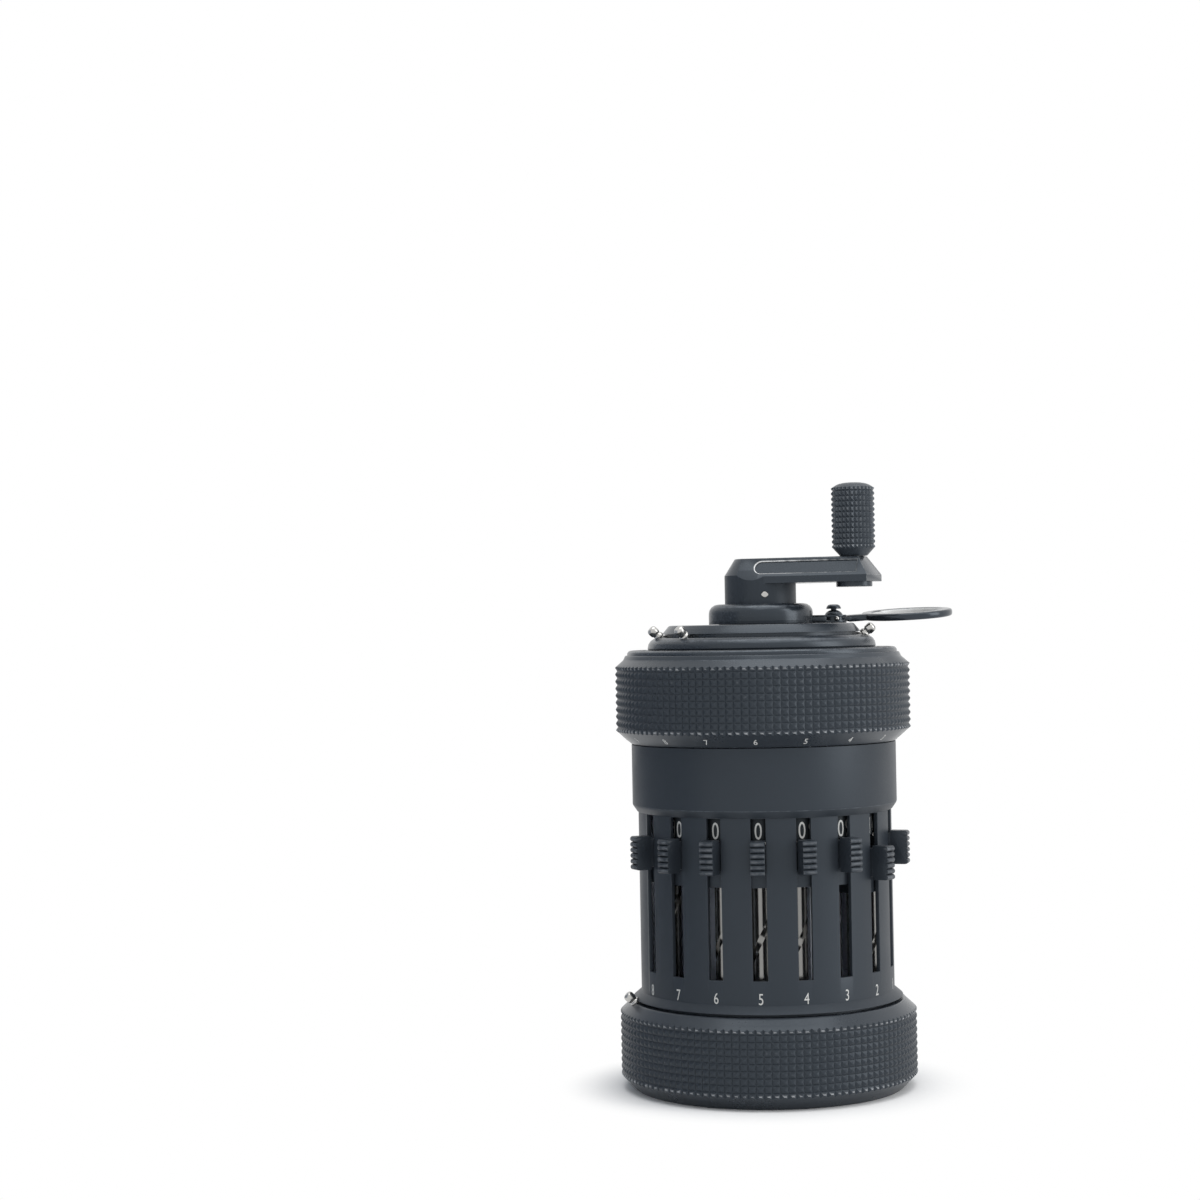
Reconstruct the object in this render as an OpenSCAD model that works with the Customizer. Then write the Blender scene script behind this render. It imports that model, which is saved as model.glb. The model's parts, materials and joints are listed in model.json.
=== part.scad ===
// Hand-held mechanical calculator: a cylinder with eight setting sliders,
// a lifting and turning carriage of number dials, a clearing ring and a crank.
// Millimetres. The origin is the centre of the foot and Z runs up the main shaft.
// The setting side faces -Y. Angles run from -Y towards +X.

/* [Base] */
// Diameter over the knurl of the base
base_d = 53; // [51:0.5:56]
// Height of the base ring
base_h = 15.6; // [14:0.1:18]
// Height of the chamfer between the foot and the knurl
foot_chamfer_h = 2.55; // [1.5:0.05:3.5]
// Width of the chamfer between the foot and the knurl
foot_chamfer_w = 2.5; // [1.5:0.05:3.5]
// Diameter of the top edge of the base ring
shoulder_d = 48.8; // [48:0.2:50]
// Height of the chamfer above the knurl
shoulder_h = 1.95; // [1:0.05:3]
// Wall of the base ring, from the points of its knurl to its bore
base_wall = 5.91; // [5.6:0.01:6.6]
// Thickness of the floor plate
floor_t = 1.6; // [1:0.1:3]

/* [Knurling] */
// Rows of points round the base and round the carriage
knurl_rows = 10; // [6:1:14]
// Depth of the knurl
knurl_depth = 0.35; // [0.2:0.05:0.6]

/* [Setting housing] */
// Height of the sloping marker collar
collar_h = 1.8; // [1.4:0.1:3]
// Diameter at the foot of the collar
collar_d = 48.4; // [47.6:0.2:48.8]
// Outside diameter of the setting housing
housing_d = 45.28; // [44:0.1:46]
// Wall of the setting housing
housing_wall = 0.7; // [0.5:0.1:2]
// Visible height of the setting housing
housing_h = 32; // [31.6:0.2:36]
// Width of a setting slot
slot_w = 2.6; // [2.2:0.1:3]
// Height of the plain strip below the slots
slot_foot = 4.2; // [3.6:0.1:5]

/* [Sliders] */
// Height of a slider's thumb piece
thumb_h = 5.9; // [5:0.1:7]
// Width of a slider's thumb piece
thumb_w = 2.4; // [1.8:0.1:3.4]
// How far a thumb piece stands out of the housing
thumb_out = 3.36; // [2:0.1:5]
// Grip ribs on a thumb piece
thumb_ribs = 6; // [4:1:8]
// Diameter of a setting spindle
spindle_d = 3.2; // [2.8:0.1:3.6]
// Height of the digit drum on a spindle
digit_drum_h = 4; // [3:0.1:5]

/* [Drive] */
// Diameter of the main shaft
shaft_d = 6; // [5:0.1:6.6]
// Thickness of a setting gear and of a row of drum teeth
gear_t = 0.8; // [0.5:0.05:0.9]
// Distance from the spindles in to the transmission shafts
shaft_inset = 5.7; // [5.4:0.1:6.4]
// Thickness of the lower and upper mechanism plates
plate_t = 2.4; // [2:0.1:4]

/* [Carriage] */
// Diameter of the plain band below the carriage
band_d = 47.34; // [46.6:0.1:49]
// Height of the band
band_h = 12; // [10:0.1:14]
// Diameter over the knurl of the carriage
carriage_d = 52.8; // [52:0.2:56]
// Height of the knurled carriage ring
carriage_h = 15.8; // [14.5:0.1:18]
// Height of the numbered bevel under the carriage
bevel_h = 2.4; // [1.5:0.1:3.5]
// Width of the numbered bevel under the carriage
bevel_w = 2.73; // [2:0.01:3.5]
// Rim of the carriage ring round the window ring
rim_w = 2.15; // [1.9:0.05:2.8]
// Width of the window ring
window_ring_w = 3.9; // [3.6:0.1:4.4]
// Height of the flat window ring above the carriage ring
window_rise = 0.9; // [0.5:0.1:1.5]
// Diameter of the dome's flat top
dome_d = 33.1; // [30:0.1:35]
// Height of the dome above the carriage ring
dome_h = 5.25; // [4.8:0.05:7]
// Diameter of the centre tube that guides the carriage
tube_d = 12.4; // [11.6:0.2:12.6]
// Lift of the carriage
carriage_lift = 2.5; // [1.5:0.1:2.6]

/* [Crank and clearing lever] */
// Diameter of the crank hub
hub_d = 12.8; // [12:0.1:13.2]
// Height of the clearing lever's hub
clearing_h = 3.6; // [2.6:0.1:4]
// Diameter of the clearing lever's hub
clearing_d = 18.7; // [17.6:0.1:20]
// Height of the crank arm
arm_h = 4.5; // [3.5:0.1:6]
// Width of the crank arm's foot at its end
arm_w = 9.3; // [8.4:0.1:11]
// Distance from the main shaft to the crank knob
crank_r = 17.6; // [16:0.1:24]
// Distance from the crank knob to the end of the arm
arm_overhang = 3.7; // [3.4:0.1:5]
// Diameter of the crank knob
knob_d = 7.7; // [6.6:0.1:10]
// Height of the crank knob
knob_h = 13; // [10:0.1:18]
// Distance from the main shaft to the finger ring's pivot
pivot_r = 13.8; // [13:0.1:14.2]
// Outside diameter of the finger ring
ring_d = 16.5; // [14:0.1:20]
// Width of the finger ring's band
ring_w = 2; // [1.4:0.1:3]
// Thickness of the finger ring
ring_t = 1.3; // [1:0.1:1.6]

/* [Clearances] */
// Radial clearance of a running fit
run_gap = 0.05; // [0.02:0.01:0.1]
// Clearance of pieces that are pushed or screwed together
fit_gap = 0.05; // [0.02:0.01:0.1]
// Clearance of a sliding piece in its slot
slide_gap = 0.2; // [0.1:0.02:0.3]
// Open clearance between pieces that pass each other
pass_gap = 0.3; // [0.2:0.02:0.4]

/* [Hidden] */
$fn = 64;
eps = 0.01;

// Counts and angles of the register layout
slider_n = 8;
result_n = 11;
counter_n = 6;
dial_n = result_n + counter_n;
pitch_deg = 20;
first_slider_deg = 70;
first_dial_deg = 90;
crank_deg = 64;
lever_deg = 100;
upper_marker_deg = [-85, -53, 73];
lower_marker_deg = -82;
set_digit = [0, 1, 0, 0, 0, 0, 0, 0];

// Pieces of the clearing lever and the crank that set the arm's height
bar_t = 1.4;
bar_w = 4.6;
button_h = 1.9;
button_head_r = 1.38;
button_head_h = 0.8;
button_flat_r = 0.4;
button_neck_r = 0.5;
button_foot_r = 1.65;
button_foot_h = 0.87;
pivot_h = bar_t + button_h;
clearing_edge_r = 1.7;
boss_h = 0.9;

// Heights of the stack, from the table up
collar_z = base_h;
housing_z = collar_z + collar_h;
band_z = housing_z + housing_h;
spigot_h = 2.6;
upper_z = band_z + spigot_h;
band_top = band_z + band_h;
carriage_gap = 0.1;
carriage_z = band_top + carriage_gap;
ring_top = carriage_z + carriage_h;
dome_z = ring_top + dome_h;
clearing_z = dome_z + fit_gap;
clearing_top = clearing_z + clearing_h;
arm_z = clearing_z + max(clearing_h, pivot_h) + carriage_lift + boss_h + slide_gap;
arm_top = arm_z + arm_h;

// Radii of the casing
base_r = base_d / 2;
housing_r = housing_d / 2;
housing_ri = housing_r - housing_wall;
plate_r = housing_ri - fit_gap;
base_ri = base_r - base_wall;
floor_lap = 1;
floor_r = base_ri + floor_lap;
carriage_r = carriage_d / 2;
carriage_ri = carriage_r - rim_w;
window_outer_r = carriage_ri - fit_gap;
window_inner_r = window_outer_r - window_ring_w;
carriage_floor_t = 1.5;
rim_chamfer_h = 2.1;
half_pitch = pitch_deg / 2;

// Decimal markers: a foot in a groove and a pin that leans outwards
marker_foot_t = 0.4;
marker_foot_out = 0.3;
marker_groove_h = marker_foot_t + 2 * run_gap;
marker_groove_d = 1.3;
marker_pin_d = 1.1;
marker_pin_len = 1.9;
marker_lean_deg = 48;
marker_w = 1.4;

// Setting spindles, as large as their circle lets the digit drums be
spindle_r = (housing_ri - pass_gap + slide_gap) / (1 + sin(half_pitch));
digit_drum_r = spindle_r * sin(half_pitch) - slide_gap;
spindle_rad = spindle_d / 2;
journal_r = 0.8;
journal_h = 1;
digit_drum_z = band_z - digit_drum_h;
turn_per_digit = 36;
groove_w = 1.1;
groove_deep = 0.5;
groove_over = 0.7;

// Sliders at zero
lower_top = base_h + plate_t;
thumb_over = 0.28;
thumb_z = digit_drum_z + thumb_over - thumb_h;
block_top = digit_drum_z - 2 * pass_gap;
block_h = 7.4;
block_z = block_top - block_h;
block_side = 0.6;
block_back = 2.4;
block_w = 2 * (digit_drum_r - block_side);
block_in = spindle_r - block_back;
block_out = housing_ri - pass_gap;
pin_r = 0.3;
pin_up = 0.9;
pin_z = block_z + pin_up;
slot_z = housing_z + slot_foot;
slot_head = 0.1;
slot_top = band_z - slot_head;
end_gap = 0.18;
travel = thumb_z - slot_z - end_gap;
digit_step = travel / 9;
helix_rate = turn_per_digit / digit_step;
stem_short = 0.5;
stem_h = thumb_h - 2 * stem_short;
stem_w = slot_w - 2 * slide_gap;

// Transmission shafts and the setting gears that slide on them
trans_r = spindle_r - shaft_inset;
gear_teeth = 10;
gear_tip_r = trans_r * sin(half_pitch) - slide_gap * 0.65;
gear_root_r = gear_tip_r * 0.68;
trans_side = 1.5;
trans_round_r = 0.75;
fork_t = 0.6;
fork_w = 3.2;
fork_past = 1.6;
fork_in = trans_r - fork_past;
fork_hole_r = trans_side * 0.71 + slide_gap;
gear_up = 3.6;
gear_z = block_z + gear_up;

// Stepped drum, which rises one and a half digit steps with the crank to subtract
crank_lift_steps = 1.5;
drum_tip_r = trans_r - gear_tip_r - 2 * slide_gap;
tooth_h = 1.3;
drum_core_r = drum_tip_r - tooth_h;
tooth_w = 0.6;
tooth_deg = 360 / gear_teeth * (gear_tip_r + gear_root_r) / (drum_tip_r + drum_core_r);
row_n = 20;
row_step = digit_step / 2;
drum_top = gear_z - row_step;
drum_z = gear_z - digit_step * (9 + crank_lift_steps) - slide_gap;
bell_h = 4;
shaft_r = shaft_d / 2;
thrust_wall = 2.4;
thrust_r = shaft_r + run_gap + thrust_wall;
thrust_h = 9;
flange_h = 0.9;
flange_z = drum_z - flange_h;
thrust_top = flange_z - run_gap;
thrust_z = thrust_top - thrust_h;
thrust_hub_wall = 1.6;
thrust_hub_up = 1;
clip_h = 0.9;
clip_w = 1;

// Carriage guide, dials and cover
tube_r = tube_d / 2;
nut_h = 1.6;
nut_w = 1.2;
sleeve_bore = tube_r + run_gap;
spring_wire = 0.8;
spring_room = spring_wire + 2 * pass_gap;
sleeve_wall = 1;
sleeve_r = tube_r + spring_room + sleeve_wall;
sleeve_flange_h = 1.2;
frame_bore = sleeve_r + run_gap;
frame_hub_wall = 1.1;
frame_hub_r = frame_bore + frame_hub_wall;
cover_sink = 0.65;
cover_under = ring_top - cover_sink;
web_t = 1.3;
window_mid = (window_outer_r + window_inner_r) / 2;
dial_w = 3;
dial_r = (window_mid - dial_w / 2) * tan(half_pitch) - slide_gap;
dial_z = cover_under - dial_r - pass_gap;
dial_axle_r = 0.7;
bearing_out = window_mid - dial_w / 2 - pass_gap;
dial_gear_w = 1;
dial_gear_in = trans_r + gear_tip_r + pass_gap;
bearing_w = 1.2;
bearing_in = bearing_out - bearing_w;
bearing_under = 3.6;
bearing_h = dial_r + bearing_under;
dial_gear_r = 1.9;
trans_top_gear_h = 1.6;
sleeve_up = 1;
sleeve_z = carriage_z + sleeve_up;
sleeve_over = 1.3;
sleeve_top = cover_under + sleeve_over;
tube_over = 2;
tube_top = sleeve_top + tube_over;
nut_z = tube_top - nut_h;
spring_seat_h = 6;
spring_z = sleeve_z + spring_seat_h;
spring_turns = 6;
cover_wall = 0.9;
cover_cavity_r = dome_d / 2 - cover_wall;
cover_t = 1.2;
spigot_wall = 1.2;
cover_hole_r = hub_d / 2 + spigot_wall;
ledge_out = 2.6;
ledge_drop = 2.75;
ledge_lip = 1.1;
ledge_bulge = 0.16;
ledge_foot = 0.35;
window_edge_r = 0.7;
marker_ledge_r = dome_d / 2 + ledge_out;
marker_ledge_z = dome_z - ledge_drop;
window_w = 3.9;
window_len = 2.9;

// Forked end of the clearing lever, the tongue in it and the stem of the finger ring
pivot_pin_r = 0.8;
tongue_t = 0.5;
fork_slot = tongue_t + 2 * run_gap;
fork_cut_r = 3.3;
stem_wide = 2.8;
stem_len = 3.05;
ring_lift_deg = 2.2;
ring_twist_deg = 2.5;

// Reversing lever at the back
reverse_w = 3;
reverse_travel = 5;
reverse_drop = 12.5;
reverse_z = band_z - reverse_drop;
reverse_button_r = 2;

// Crank hub and knob
hub_r = hub_d / 2;
hub_up = 0.9;
hub_z = tube_top + hub_up;
cap_r = 4.5;
cap_up = 1.5;
cap_z = arm_z + cap_up;
arm_in = 0.4;
arm_half = hub_r - arm_in;
arm_taper = atan2(arm_half - arm_w / 2, crank_r + arm_overhang);
arm_side_h = 1.2;
arm_slope = 2.1;
arm_rise = arm_h - arm_side_h;
arm_panel_x = 0.8;
arm_panel_h = 0.62 * norm([arm_rise, arm_slope]);
arm_panel_up = 0.19 * norm([arm_rise, arm_slope]);
arm_panel_deep = 0.3;
stud_r = 1.6;
boss_r = 3.2;
knob_neck_r = 2.4;
knob_cone_h = 1.6;
knob_dome_h = 1;
knob_rows = 11;
knob_cap_t = 2.4;
cross_pin_r = 0.6;
cross_pin_up = 1.6;

// Turns a child that was made facing -Y to an angle round the main shaft
module around(deg) {
    rotate([0, 0, deg]) children();
}

// A ring or a disc between two heights
module ring(r, ri, z0, z1) {
    translate([0, 0, z0]) difference() {
        cylinder(r = r, h = z1 - z0);
        translate([0, 0, -1]) cylinder(r = ri, h = z1 - z0 + 2);
    }
}

// Rows of points of a knurled surface, as [radius, height], with a row at z0 and a row at z1
function knurl(r, z0, z1, rows) = [
    for (i = [0:2 * rows - 2])
        [r - (i % 2 == 1 ? knurl_depth : 0), z0 + (z1 - z0) * i / (2 * rows - 2)]
];

// Points of a convex rounded edge, from above the centre [r, z] to beside it
function quarter_round(r, z, w, h) = [for (i = [0:4]) [r + w * sin(22.5 * i), z + h * cos(22.5 * i)]];

// Outline of a small straight-flanked gear
function gear_outline(teeth, root, tip) = [
    for (i = [0:teeth - 1]) for (c = [[-0.3, root], [-0.14, tip], [0.14, tip], [0.3, root]])
        c[1] * [cos((i + c[0]) * 360 / teeth), sin((i + c[0]) * 360 / teeth)]
];

module base_ring() {
    color("dimgray") rotate_extrude() polygon(concat(
        [[floor_r + fit_gap, 0], [base_r - foot_chamfer_w, 0]],
        knurl(base_r, foot_chamfer_h, base_h - shoulder_h, knurl_rows),
        [[shoulder_d / 2, base_h], [base_ri, base_h], [base_ri, floor_t], [floor_r + fit_gap, floor_t]]
    ));
}

module base_plate() {
    color("dimgray") cylinder(r = floor_r, h = floor_t);
}

// Sloping collar with the groove in which the lower decimal marker slides
module marker_collar() {
    groove_r = collar_d / 2 - marker_groove_d;
    groove_top = collar_z + marker_groove_h;
    color("dimgray") rotate_extrude() polygon([
        [housing_ri, collar_z], [groove_r, collar_z], [groove_r, groove_top],
        [collar_d / 2, groove_top], [housing_r, housing_z], [housing_ri, housing_z]
    ]);
}

// A slot through the housing wall, at -Y
module wall_slot(w, z0, z1) {
    translate([-w / 2, -housing_r - 1, z0]) cube([w, housing_wall + 3, z1 - z0]);
}

module setting_housing() {
    color("dimgray") difference() {
        ring(housing_r, housing_ri, housing_z, upper_z);
        for (k = [1:slider_n]) around(slider_deg(k)) wall_slot(slot_w, slot_z, slot_top);
        around(180) wall_slot(reverse_w, reverse_z - reverse_travel - reverse_w / 2, reverse_z + reverse_w / 2);
    }
}

function slider_deg(k) = first_slider_deg - pitch_deg * (k - 1);
function dial_deg(n) = first_dial_deg - pitch_deg * (n - 1);

module body_band() {
    chamfer = 1.2;
    bore = housing_r + fit_gap;
    color("dimgray") rotate_extrude() polygon([
        [bore, band_z], [bore + 0.15, band_z], [band_d / 2, band_z + chamfer],
        [band_d / 2, band_top], [bore, band_top]
    ]);
}

// Bores of the spindles and the transmission shafts through a mechanism plate
module plate_bores(z0, h, shaft_bore) {
    for (k = [1:slider_n]) around(slider_deg(k)) {
        translate([0, -spindle_r, z0]) cylinder(r = journal_r + run_gap, h = h);
        translate([0, -trans_r, z0]) cylinder(r = shaft_bore, h = h);
    }
}

module lower_plate() {
    bore = thrust_r + run_gap;
    color("silver") difference() {
        union() {
            translate([0, 0, base_h]) cylinder(r = plate_r, h = plate_t);
            translate([0, 0, thrust_z + thrust_hub_up])
                cylinder(r = bore + thrust_hub_wall, h = lower_top - thrust_z - thrust_hub_up);
        }
        translate([0, 0, thrust_z]) cylinder(r = bore, h = lower_top - thrust_z + 1);
        plate_bores(lower_top - journal_h - run_gap, journal_h + 1, trans_round_r + run_gap);
    }
}

// Upper plate with the centre tube that guides the carriage, and the nut on the tube
module upper_plate() {
    upper_h = plate_t + 1.6;
    color("silver") {
        difference() {
            union() {
                translate([0, 0, upper_z]) cylinder(r = housing_r, h = upper_h);
                translate([0, 0, upper_z]) cylinder(r = tube_r, h = tube_top - upper_z);
            }
            translate([0, 0, upper_z - 1]) cylinder(r = shaft_r + run_gap, h = tube_top - upper_z + 2);
            plate_bores(upper_z - 1, journal_h + run_gap + 1, trans_round_r + run_gap);
            for (k = [1:slider_n]) around(slider_deg(k))
                translate([0, -trans_r, upper_z - 1]) cylinder(r = trans_round_r + run_gap, h = upper_h + 2);
        }
        ring(tube_r + nut_w, tube_r + eps, nut_z, tube_top);
    }
}

// Eight shafts, square where the setting gears slide, with a gear at the top
module transmission_shafts() {
    square_z = lower_top + run_gap;
    square_top = upper_z - run_gap;
    gear_mid = dial_z;
    foot_z = lower_top - journal_h;
    color("silver") for (k = [1:slider_n]) around(slider_deg(k)) translate([0, -trans_r, 0]) {
        translate([-trans_side / 2, -trans_side / 2, square_z])
            cube([trans_side, trans_side, square_top - square_z]);
        translate([0, 0, foot_z]) cylinder(r = trans_round_r, h = gear_mid - foot_z);
        translate([0, 0, gear_mid - trans_top_gear_h / 2]) linear_extrude(trans_top_gear_h)
            polygon(gear_outline(gear_teeth, gear_root_r, gear_tip_r));
    }
}

module thrust_sleeve() {
    color("silver") ring(thrust_r, shaft_r + run_gap, thrust_z, thrust_top);
}

// Shaft from the thrust sleeve to the crank, with a flange above the sleeve and a clip below it
module main_shaft() {
    clip_top = thrust_z - run_gap;
    clip_r = shaft_r - 0.5;
    shaft_z = clip_top - clip_h - 1.5;
    shaft_top = arm_z + 1;
    color("silver") {
        difference() {
            union() {
                translate([0, 0, shaft_z]) cylinder(r = shaft_r, h = shaft_top - shaft_z);
                translate([0, 0, flange_z]) cylinder(r = thrust_r - 0.4, h = flange_h);
            }
            ring(shaft_r + 1, clip_r, clip_top - clip_h, clip_top);
            cross_pin_hole(cross_pin_r);
        }
        ring(shaft_r + clip_w, clip_r + eps, clip_top - clip_h + eps, clip_top - eps);
    }
}

// Cross hole through the crank hub and the shaft
module cross_pin_hole(r) {
    translate([0, -hub_r - 1, clearing_top + cross_pin_up]) rotate([-90, 0, 0])
        cylinder(r = r, h = 2 * hub_r + 2);
}

// Rows of teeth: whole steps carry a digit's teeth, half steps its complement to nine
function row_teeth(row) = row % 2 == 1 ? (row + 1) / 2 : 9 - max(0, row / 2 - 1);

module step_drum() {
    color("silver") {
        ring(drum_core_r, shaft_r + eps, drum_z, drum_top);
        for (row = [1:row_n]) translate([0, 0, gear_z - row_step * (row + 1)]) linear_extrude(gear_t)
            for (i = [0:row_teeth(row) - 1]) if (i < 9) rotate(i * tooth_deg) polygon([
                [drum_core_r - 0.2, -tooth_w / 2], [drum_tip_r, -tooth_w / 3],
                [drum_tip_r, tooth_w / 3], [drum_core_r - 0.2, tooth_w / 2]
            ]);
    }
}

// Cup above the stepped drum whose rim works the tens carry
module carry_bell() {
    rim = drum_tip_r - 0.1;
    color("silver") rotate_extrude() polygon([
        [shaft_r + eps, drum_top], [drum_core_r, drum_top], [rim, drum_top + 1.4], [rim, drum_top + bell_h],
        [rim - 0.9, drum_top + bell_h], [rim - 0.9, drum_top + 2], [shaft_r + eps, drum_top + 2]
    ]);
}

// Places a child on the sloping side of the arm: x along the foot edge, y outwards, z up the slope
module on_slope() {
    translate([0, arm_half, arm_z + arm_side_h]) rotate([0, 0, -arm_taper])
        rotate([atan2(arm_slope, arm_rise), 0, 0]) children();
}

// Bar drawn along +X from the shaft, with a sloping end
module arm_bar() {
    end = crank_r + arm_overhang;
    difference() {
        translate([0, 0, arm_z]) linear_extrude(arm_h)
            polygon([[0, -arm_half], [end, -arm_w / 2], [end, arm_w / 2], [0, arm_half]]);
        translate([end, -end, arm_z + arm_side_h]) rotate([0, -atan2(arm_slope, arm_rise), 0])
            translate([0, 0, -1]) cube([arm_h, 2 * end, 2 * arm_h]);
    }
}

// Two sloping sides, which run on over the hub's cone as flats, each with a shallow panel
module arm_sides() {
    end = crank_r + arm_overhang;
    slope_len = norm([arm_rise, arm_slope]);
    for (side = [0, 1]) mirror([0, side, 0]) on_slope() {
        translate([-end / 2, 0, -1]) cube([2 * end, arm_h, slope_len + 1.2]);
        translate([arm_panel_x, -arm_panel_deep, arm_panel_up])
            panel_block(end - arm_panel_x - arm_slope, arm_panel_h, 1);
    }
}

module crank_arm() {
    color("dimgray") difference() {
        union() {
            difference() {
                union() {
                    translate([0, 0, hub_z]) cylinder(r = hub_r, h = cap_z - hub_z);
                    translate([0, 0, cap_z]) cylinder(r1 = hub_r, r2 = cap_r, h = arm_top - cap_z);
                    rotate([0, 0, crank_deg - 90]) arm_bar();
                }
                rotate([0, 0, crank_deg - 90]) arm_sides();
            }
            rotate([0, 0, crank_deg - 90]) translate([crank_r, 0, 0]) {
                translate([0, 0, arm_z - boss_h]) cylinder(r = boss_r, h = boss_h + 1);
                translate([0, 0, arm_z]) cylinder(r = stud_r, h = arm_h + knob_h - knob_cap_t - pass_gap);
            }
        }
        translate([0, 0, hub_z - 1]) cylinder(r = shaft_r + eps, h = arm_z + 1 - hub_z + 1);
        cross_pin_hole(cross_pin_r);
    }
}

// Flat block with a round end at x = 0, lying in the plane of a sloping side
module panel_block(len, h, deep) {
    translate([h / 2, 0, 0]) cube([len - h / 2, deep, h]);
    translate([h / 2, 0, h / 2]) rotate([-90, 0, 0]) cylinder(d = h, h = deep);
}

module crank_pin() {
    color("white") cross_pin(cross_pin_r - eps);
}

module cross_pin(r) {
    translate([0, -hub_r, clearing_top + cross_pin_up]) rotate([-90, 0, 0])
        cylinder(r = r, h = 2 * hub_r);
}

module crank_knob() {
    z0 = arm_top + run_gap;
    z_top = z0 + knob_h;
    r = knob_d / 2;
    body_z = z0 + knob_cone_h;
    bore = stud_r + run_gap;
    color("dimgray") around(crank_deg - 90) translate([crank_r, 0, 0]) rotate_extrude() polygon(concat(
        [[bore, z0], [knob_neck_r, z0]],
        knurl(r, body_z, z_top - knob_dome_h, knob_rows),
        [[r * 0.72, z_top - knob_dome_h * 0.3], [r * 0.4, z_top], [0, z_top],
         [0, z_top - knob_cap_t], [bore, z_top - knob_cap_t]]
    ));
}

module carriage_sleeve() {
    color("silver") difference() {
        union() {
            translate([0, 0, sleeve_z]) cylinder(r = sleeve_r, h = sleeve_top - sleeve_z);
            translate([0, 0, sleeve_z]) cylinder(r = frame_hub_r, h = sleeve_flange_h);
        }
        translate([0, 0, sleeve_z - 1]) cylinder(r = sleeve_bore, h = sleeve_top - sleeve_z + 2);
        translate([0, 0, spring_z]) cylinder(r = tube_r + spring_room, h = sleeve_top - spring_z + 1);
    }
}

// Coil between the sleeve's shoulder and the tube's nut
module carriage_spring() {
    mean = tube_r + pass_gap + spring_wire / 2;
    lead = nut_z - spring_z - spring_wire - 2 * run_gap;
    ring_n = 14 * spring_turns;
    side_n = 6;
    points = [for (i = [0:ring_n]) for (s = [0:side_n - 1])
        let (a = 360 * spring_turns * i / ring_n, b = 360 * s / side_n,
             r = mean + cos(b) * spring_wire / 2)
        [r * cos(a), r * sin(a), spring_z + run_gap + spring_wire / 2 + lead * i / ring_n
            + sin(b) * spring_wire / 2]];
    walls = [for (i = [0:ring_n - 1]) for (s = [0:side_n - 1])
        let (a = i * side_n + s, b = i * side_n + (s + 1) % side_n)
        each [[a, a + side_n, b], [b, a + side_n, b + side_n]]];
    first = [for (s = [1:side_n - 2]) [0, s, s + 1]];
    last = [for (s = [1:side_n - 2]) [0, s + 1, s] + ring_n * side_n * [1, 1, 1]];
    color("silver") polyhedron(points, concat(walls, first, last));
}

module carriage_ring() {
    floor_ri = trans_r + gear_tip_r + 2 * pass_gap;
    floor_top = carriage_z + carriage_floor_t;
    knurl_top = ring_top - rim_chamfer_h;
    color("dimgray") rotate_extrude() polygon(concat(
        [[floor_ri, carriage_z], [carriage_r - bevel_w, carriage_z]],
        knurl(carriage_r, carriage_z + bevel_h, knurl_top, knurl_rows),
        [[carriage_r - 1.5, ring_top - 0.8], [carriage_ri + 0.1, ring_top], [carriage_ri, ring_top],
         [carriage_ri, floor_top], [floor_ri, floor_top]]
    ));
}

// Flat window ring, a rounded shoulder and a bevel with the marker groove between them, and the flat dome
module carriage_cover() {
    inner_z = ring_top + window_rise;
    ledge_top = marker_ledge_z + marker_groove_h;
    groove_r = marker_ledge_r - marker_groove_d;
    shoulder_r = window_inner_r + ledge_bulge;
    shoulder_z = inner_z + ledge_foot;
    color("dimgray") difference() {
        rotate_extrude() polygon(concat(
            [[cover_hole_r, dome_z - cover_t], [cover_hole_r, dome_z], [dome_d / 2, dome_z],
             [marker_ledge_r - ledge_lip, ledge_top], [groove_r, ledge_top], [groove_r, marker_ledge_z]],
            quarter_round(marker_ledge_r, shoulder_z, shoulder_r - marker_ledge_r, marker_ledge_z - shoulder_z),
            [[window_inner_r, inner_z]],
            quarter_round(window_outer_r - window_edge_r, inner_z - window_edge_r, window_edge_r, window_edge_r),
            [[window_outer_r, cover_under], [cover_cavity_r, cover_under], [cover_cavity_r, dome_z - cover_t]]
        ));
        for (n = [1:dial_n]) around(dial_deg(n))
            translate([-window_w / 2, -window_mid - window_len / 2, cover_under - 1])
                cube([window_w, window_len, ring_top - cover_under + 3]);
    }
}

// Hub, web and bearing ring that carry the dials under the cover
module dial_frame() {
    hub_foot = sleeve_z + sleeve_flange_h + run_gap;
    color("silver") difference() {
        union() {
            ring(frame_hub_r, frame_bore, hub_foot, cover_under);
            ring(bearing_out, frame_bore, cover_under - web_t, cover_under);
            ring(bearing_out, bearing_in, cover_under - bearing_h, cover_under);
        }
        for (n = [1:dial_n]) around(dial_deg(n)) translate([0, -bearing_out - 1, dial_z]) rotate([-90, 0, 0])
            cylinder(r = dial_axle_r + run_gap, h = bearing_out - bearing_in + 2);
    }
}

// Number dial with its axle and gear; the axle runs in the bearing ring
module dial(n) {
    face = window_mid + dial_w / 2;
    axle_in = dial_gear_in + dial_gear_w / 2;
    color("black") around(dial_deg(n)) translate([0, 0, dial_z]) rotate([90, 0, 0]) {
        translate([0, 0, face - dial_w]) cylinder(r = dial_r, h = dial_w);
        translate([0, 0, axle_in]) cylinder(r = dial_axle_r, h = face - axle_in - 0.5);
        translate([0, 0, dial_gear_in]) linear_extrude(dial_gear_w)
            polygon(gear_outline(gear_teeth, dial_gear_r * 0.68, dial_gear_r));
    }
}

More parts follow.
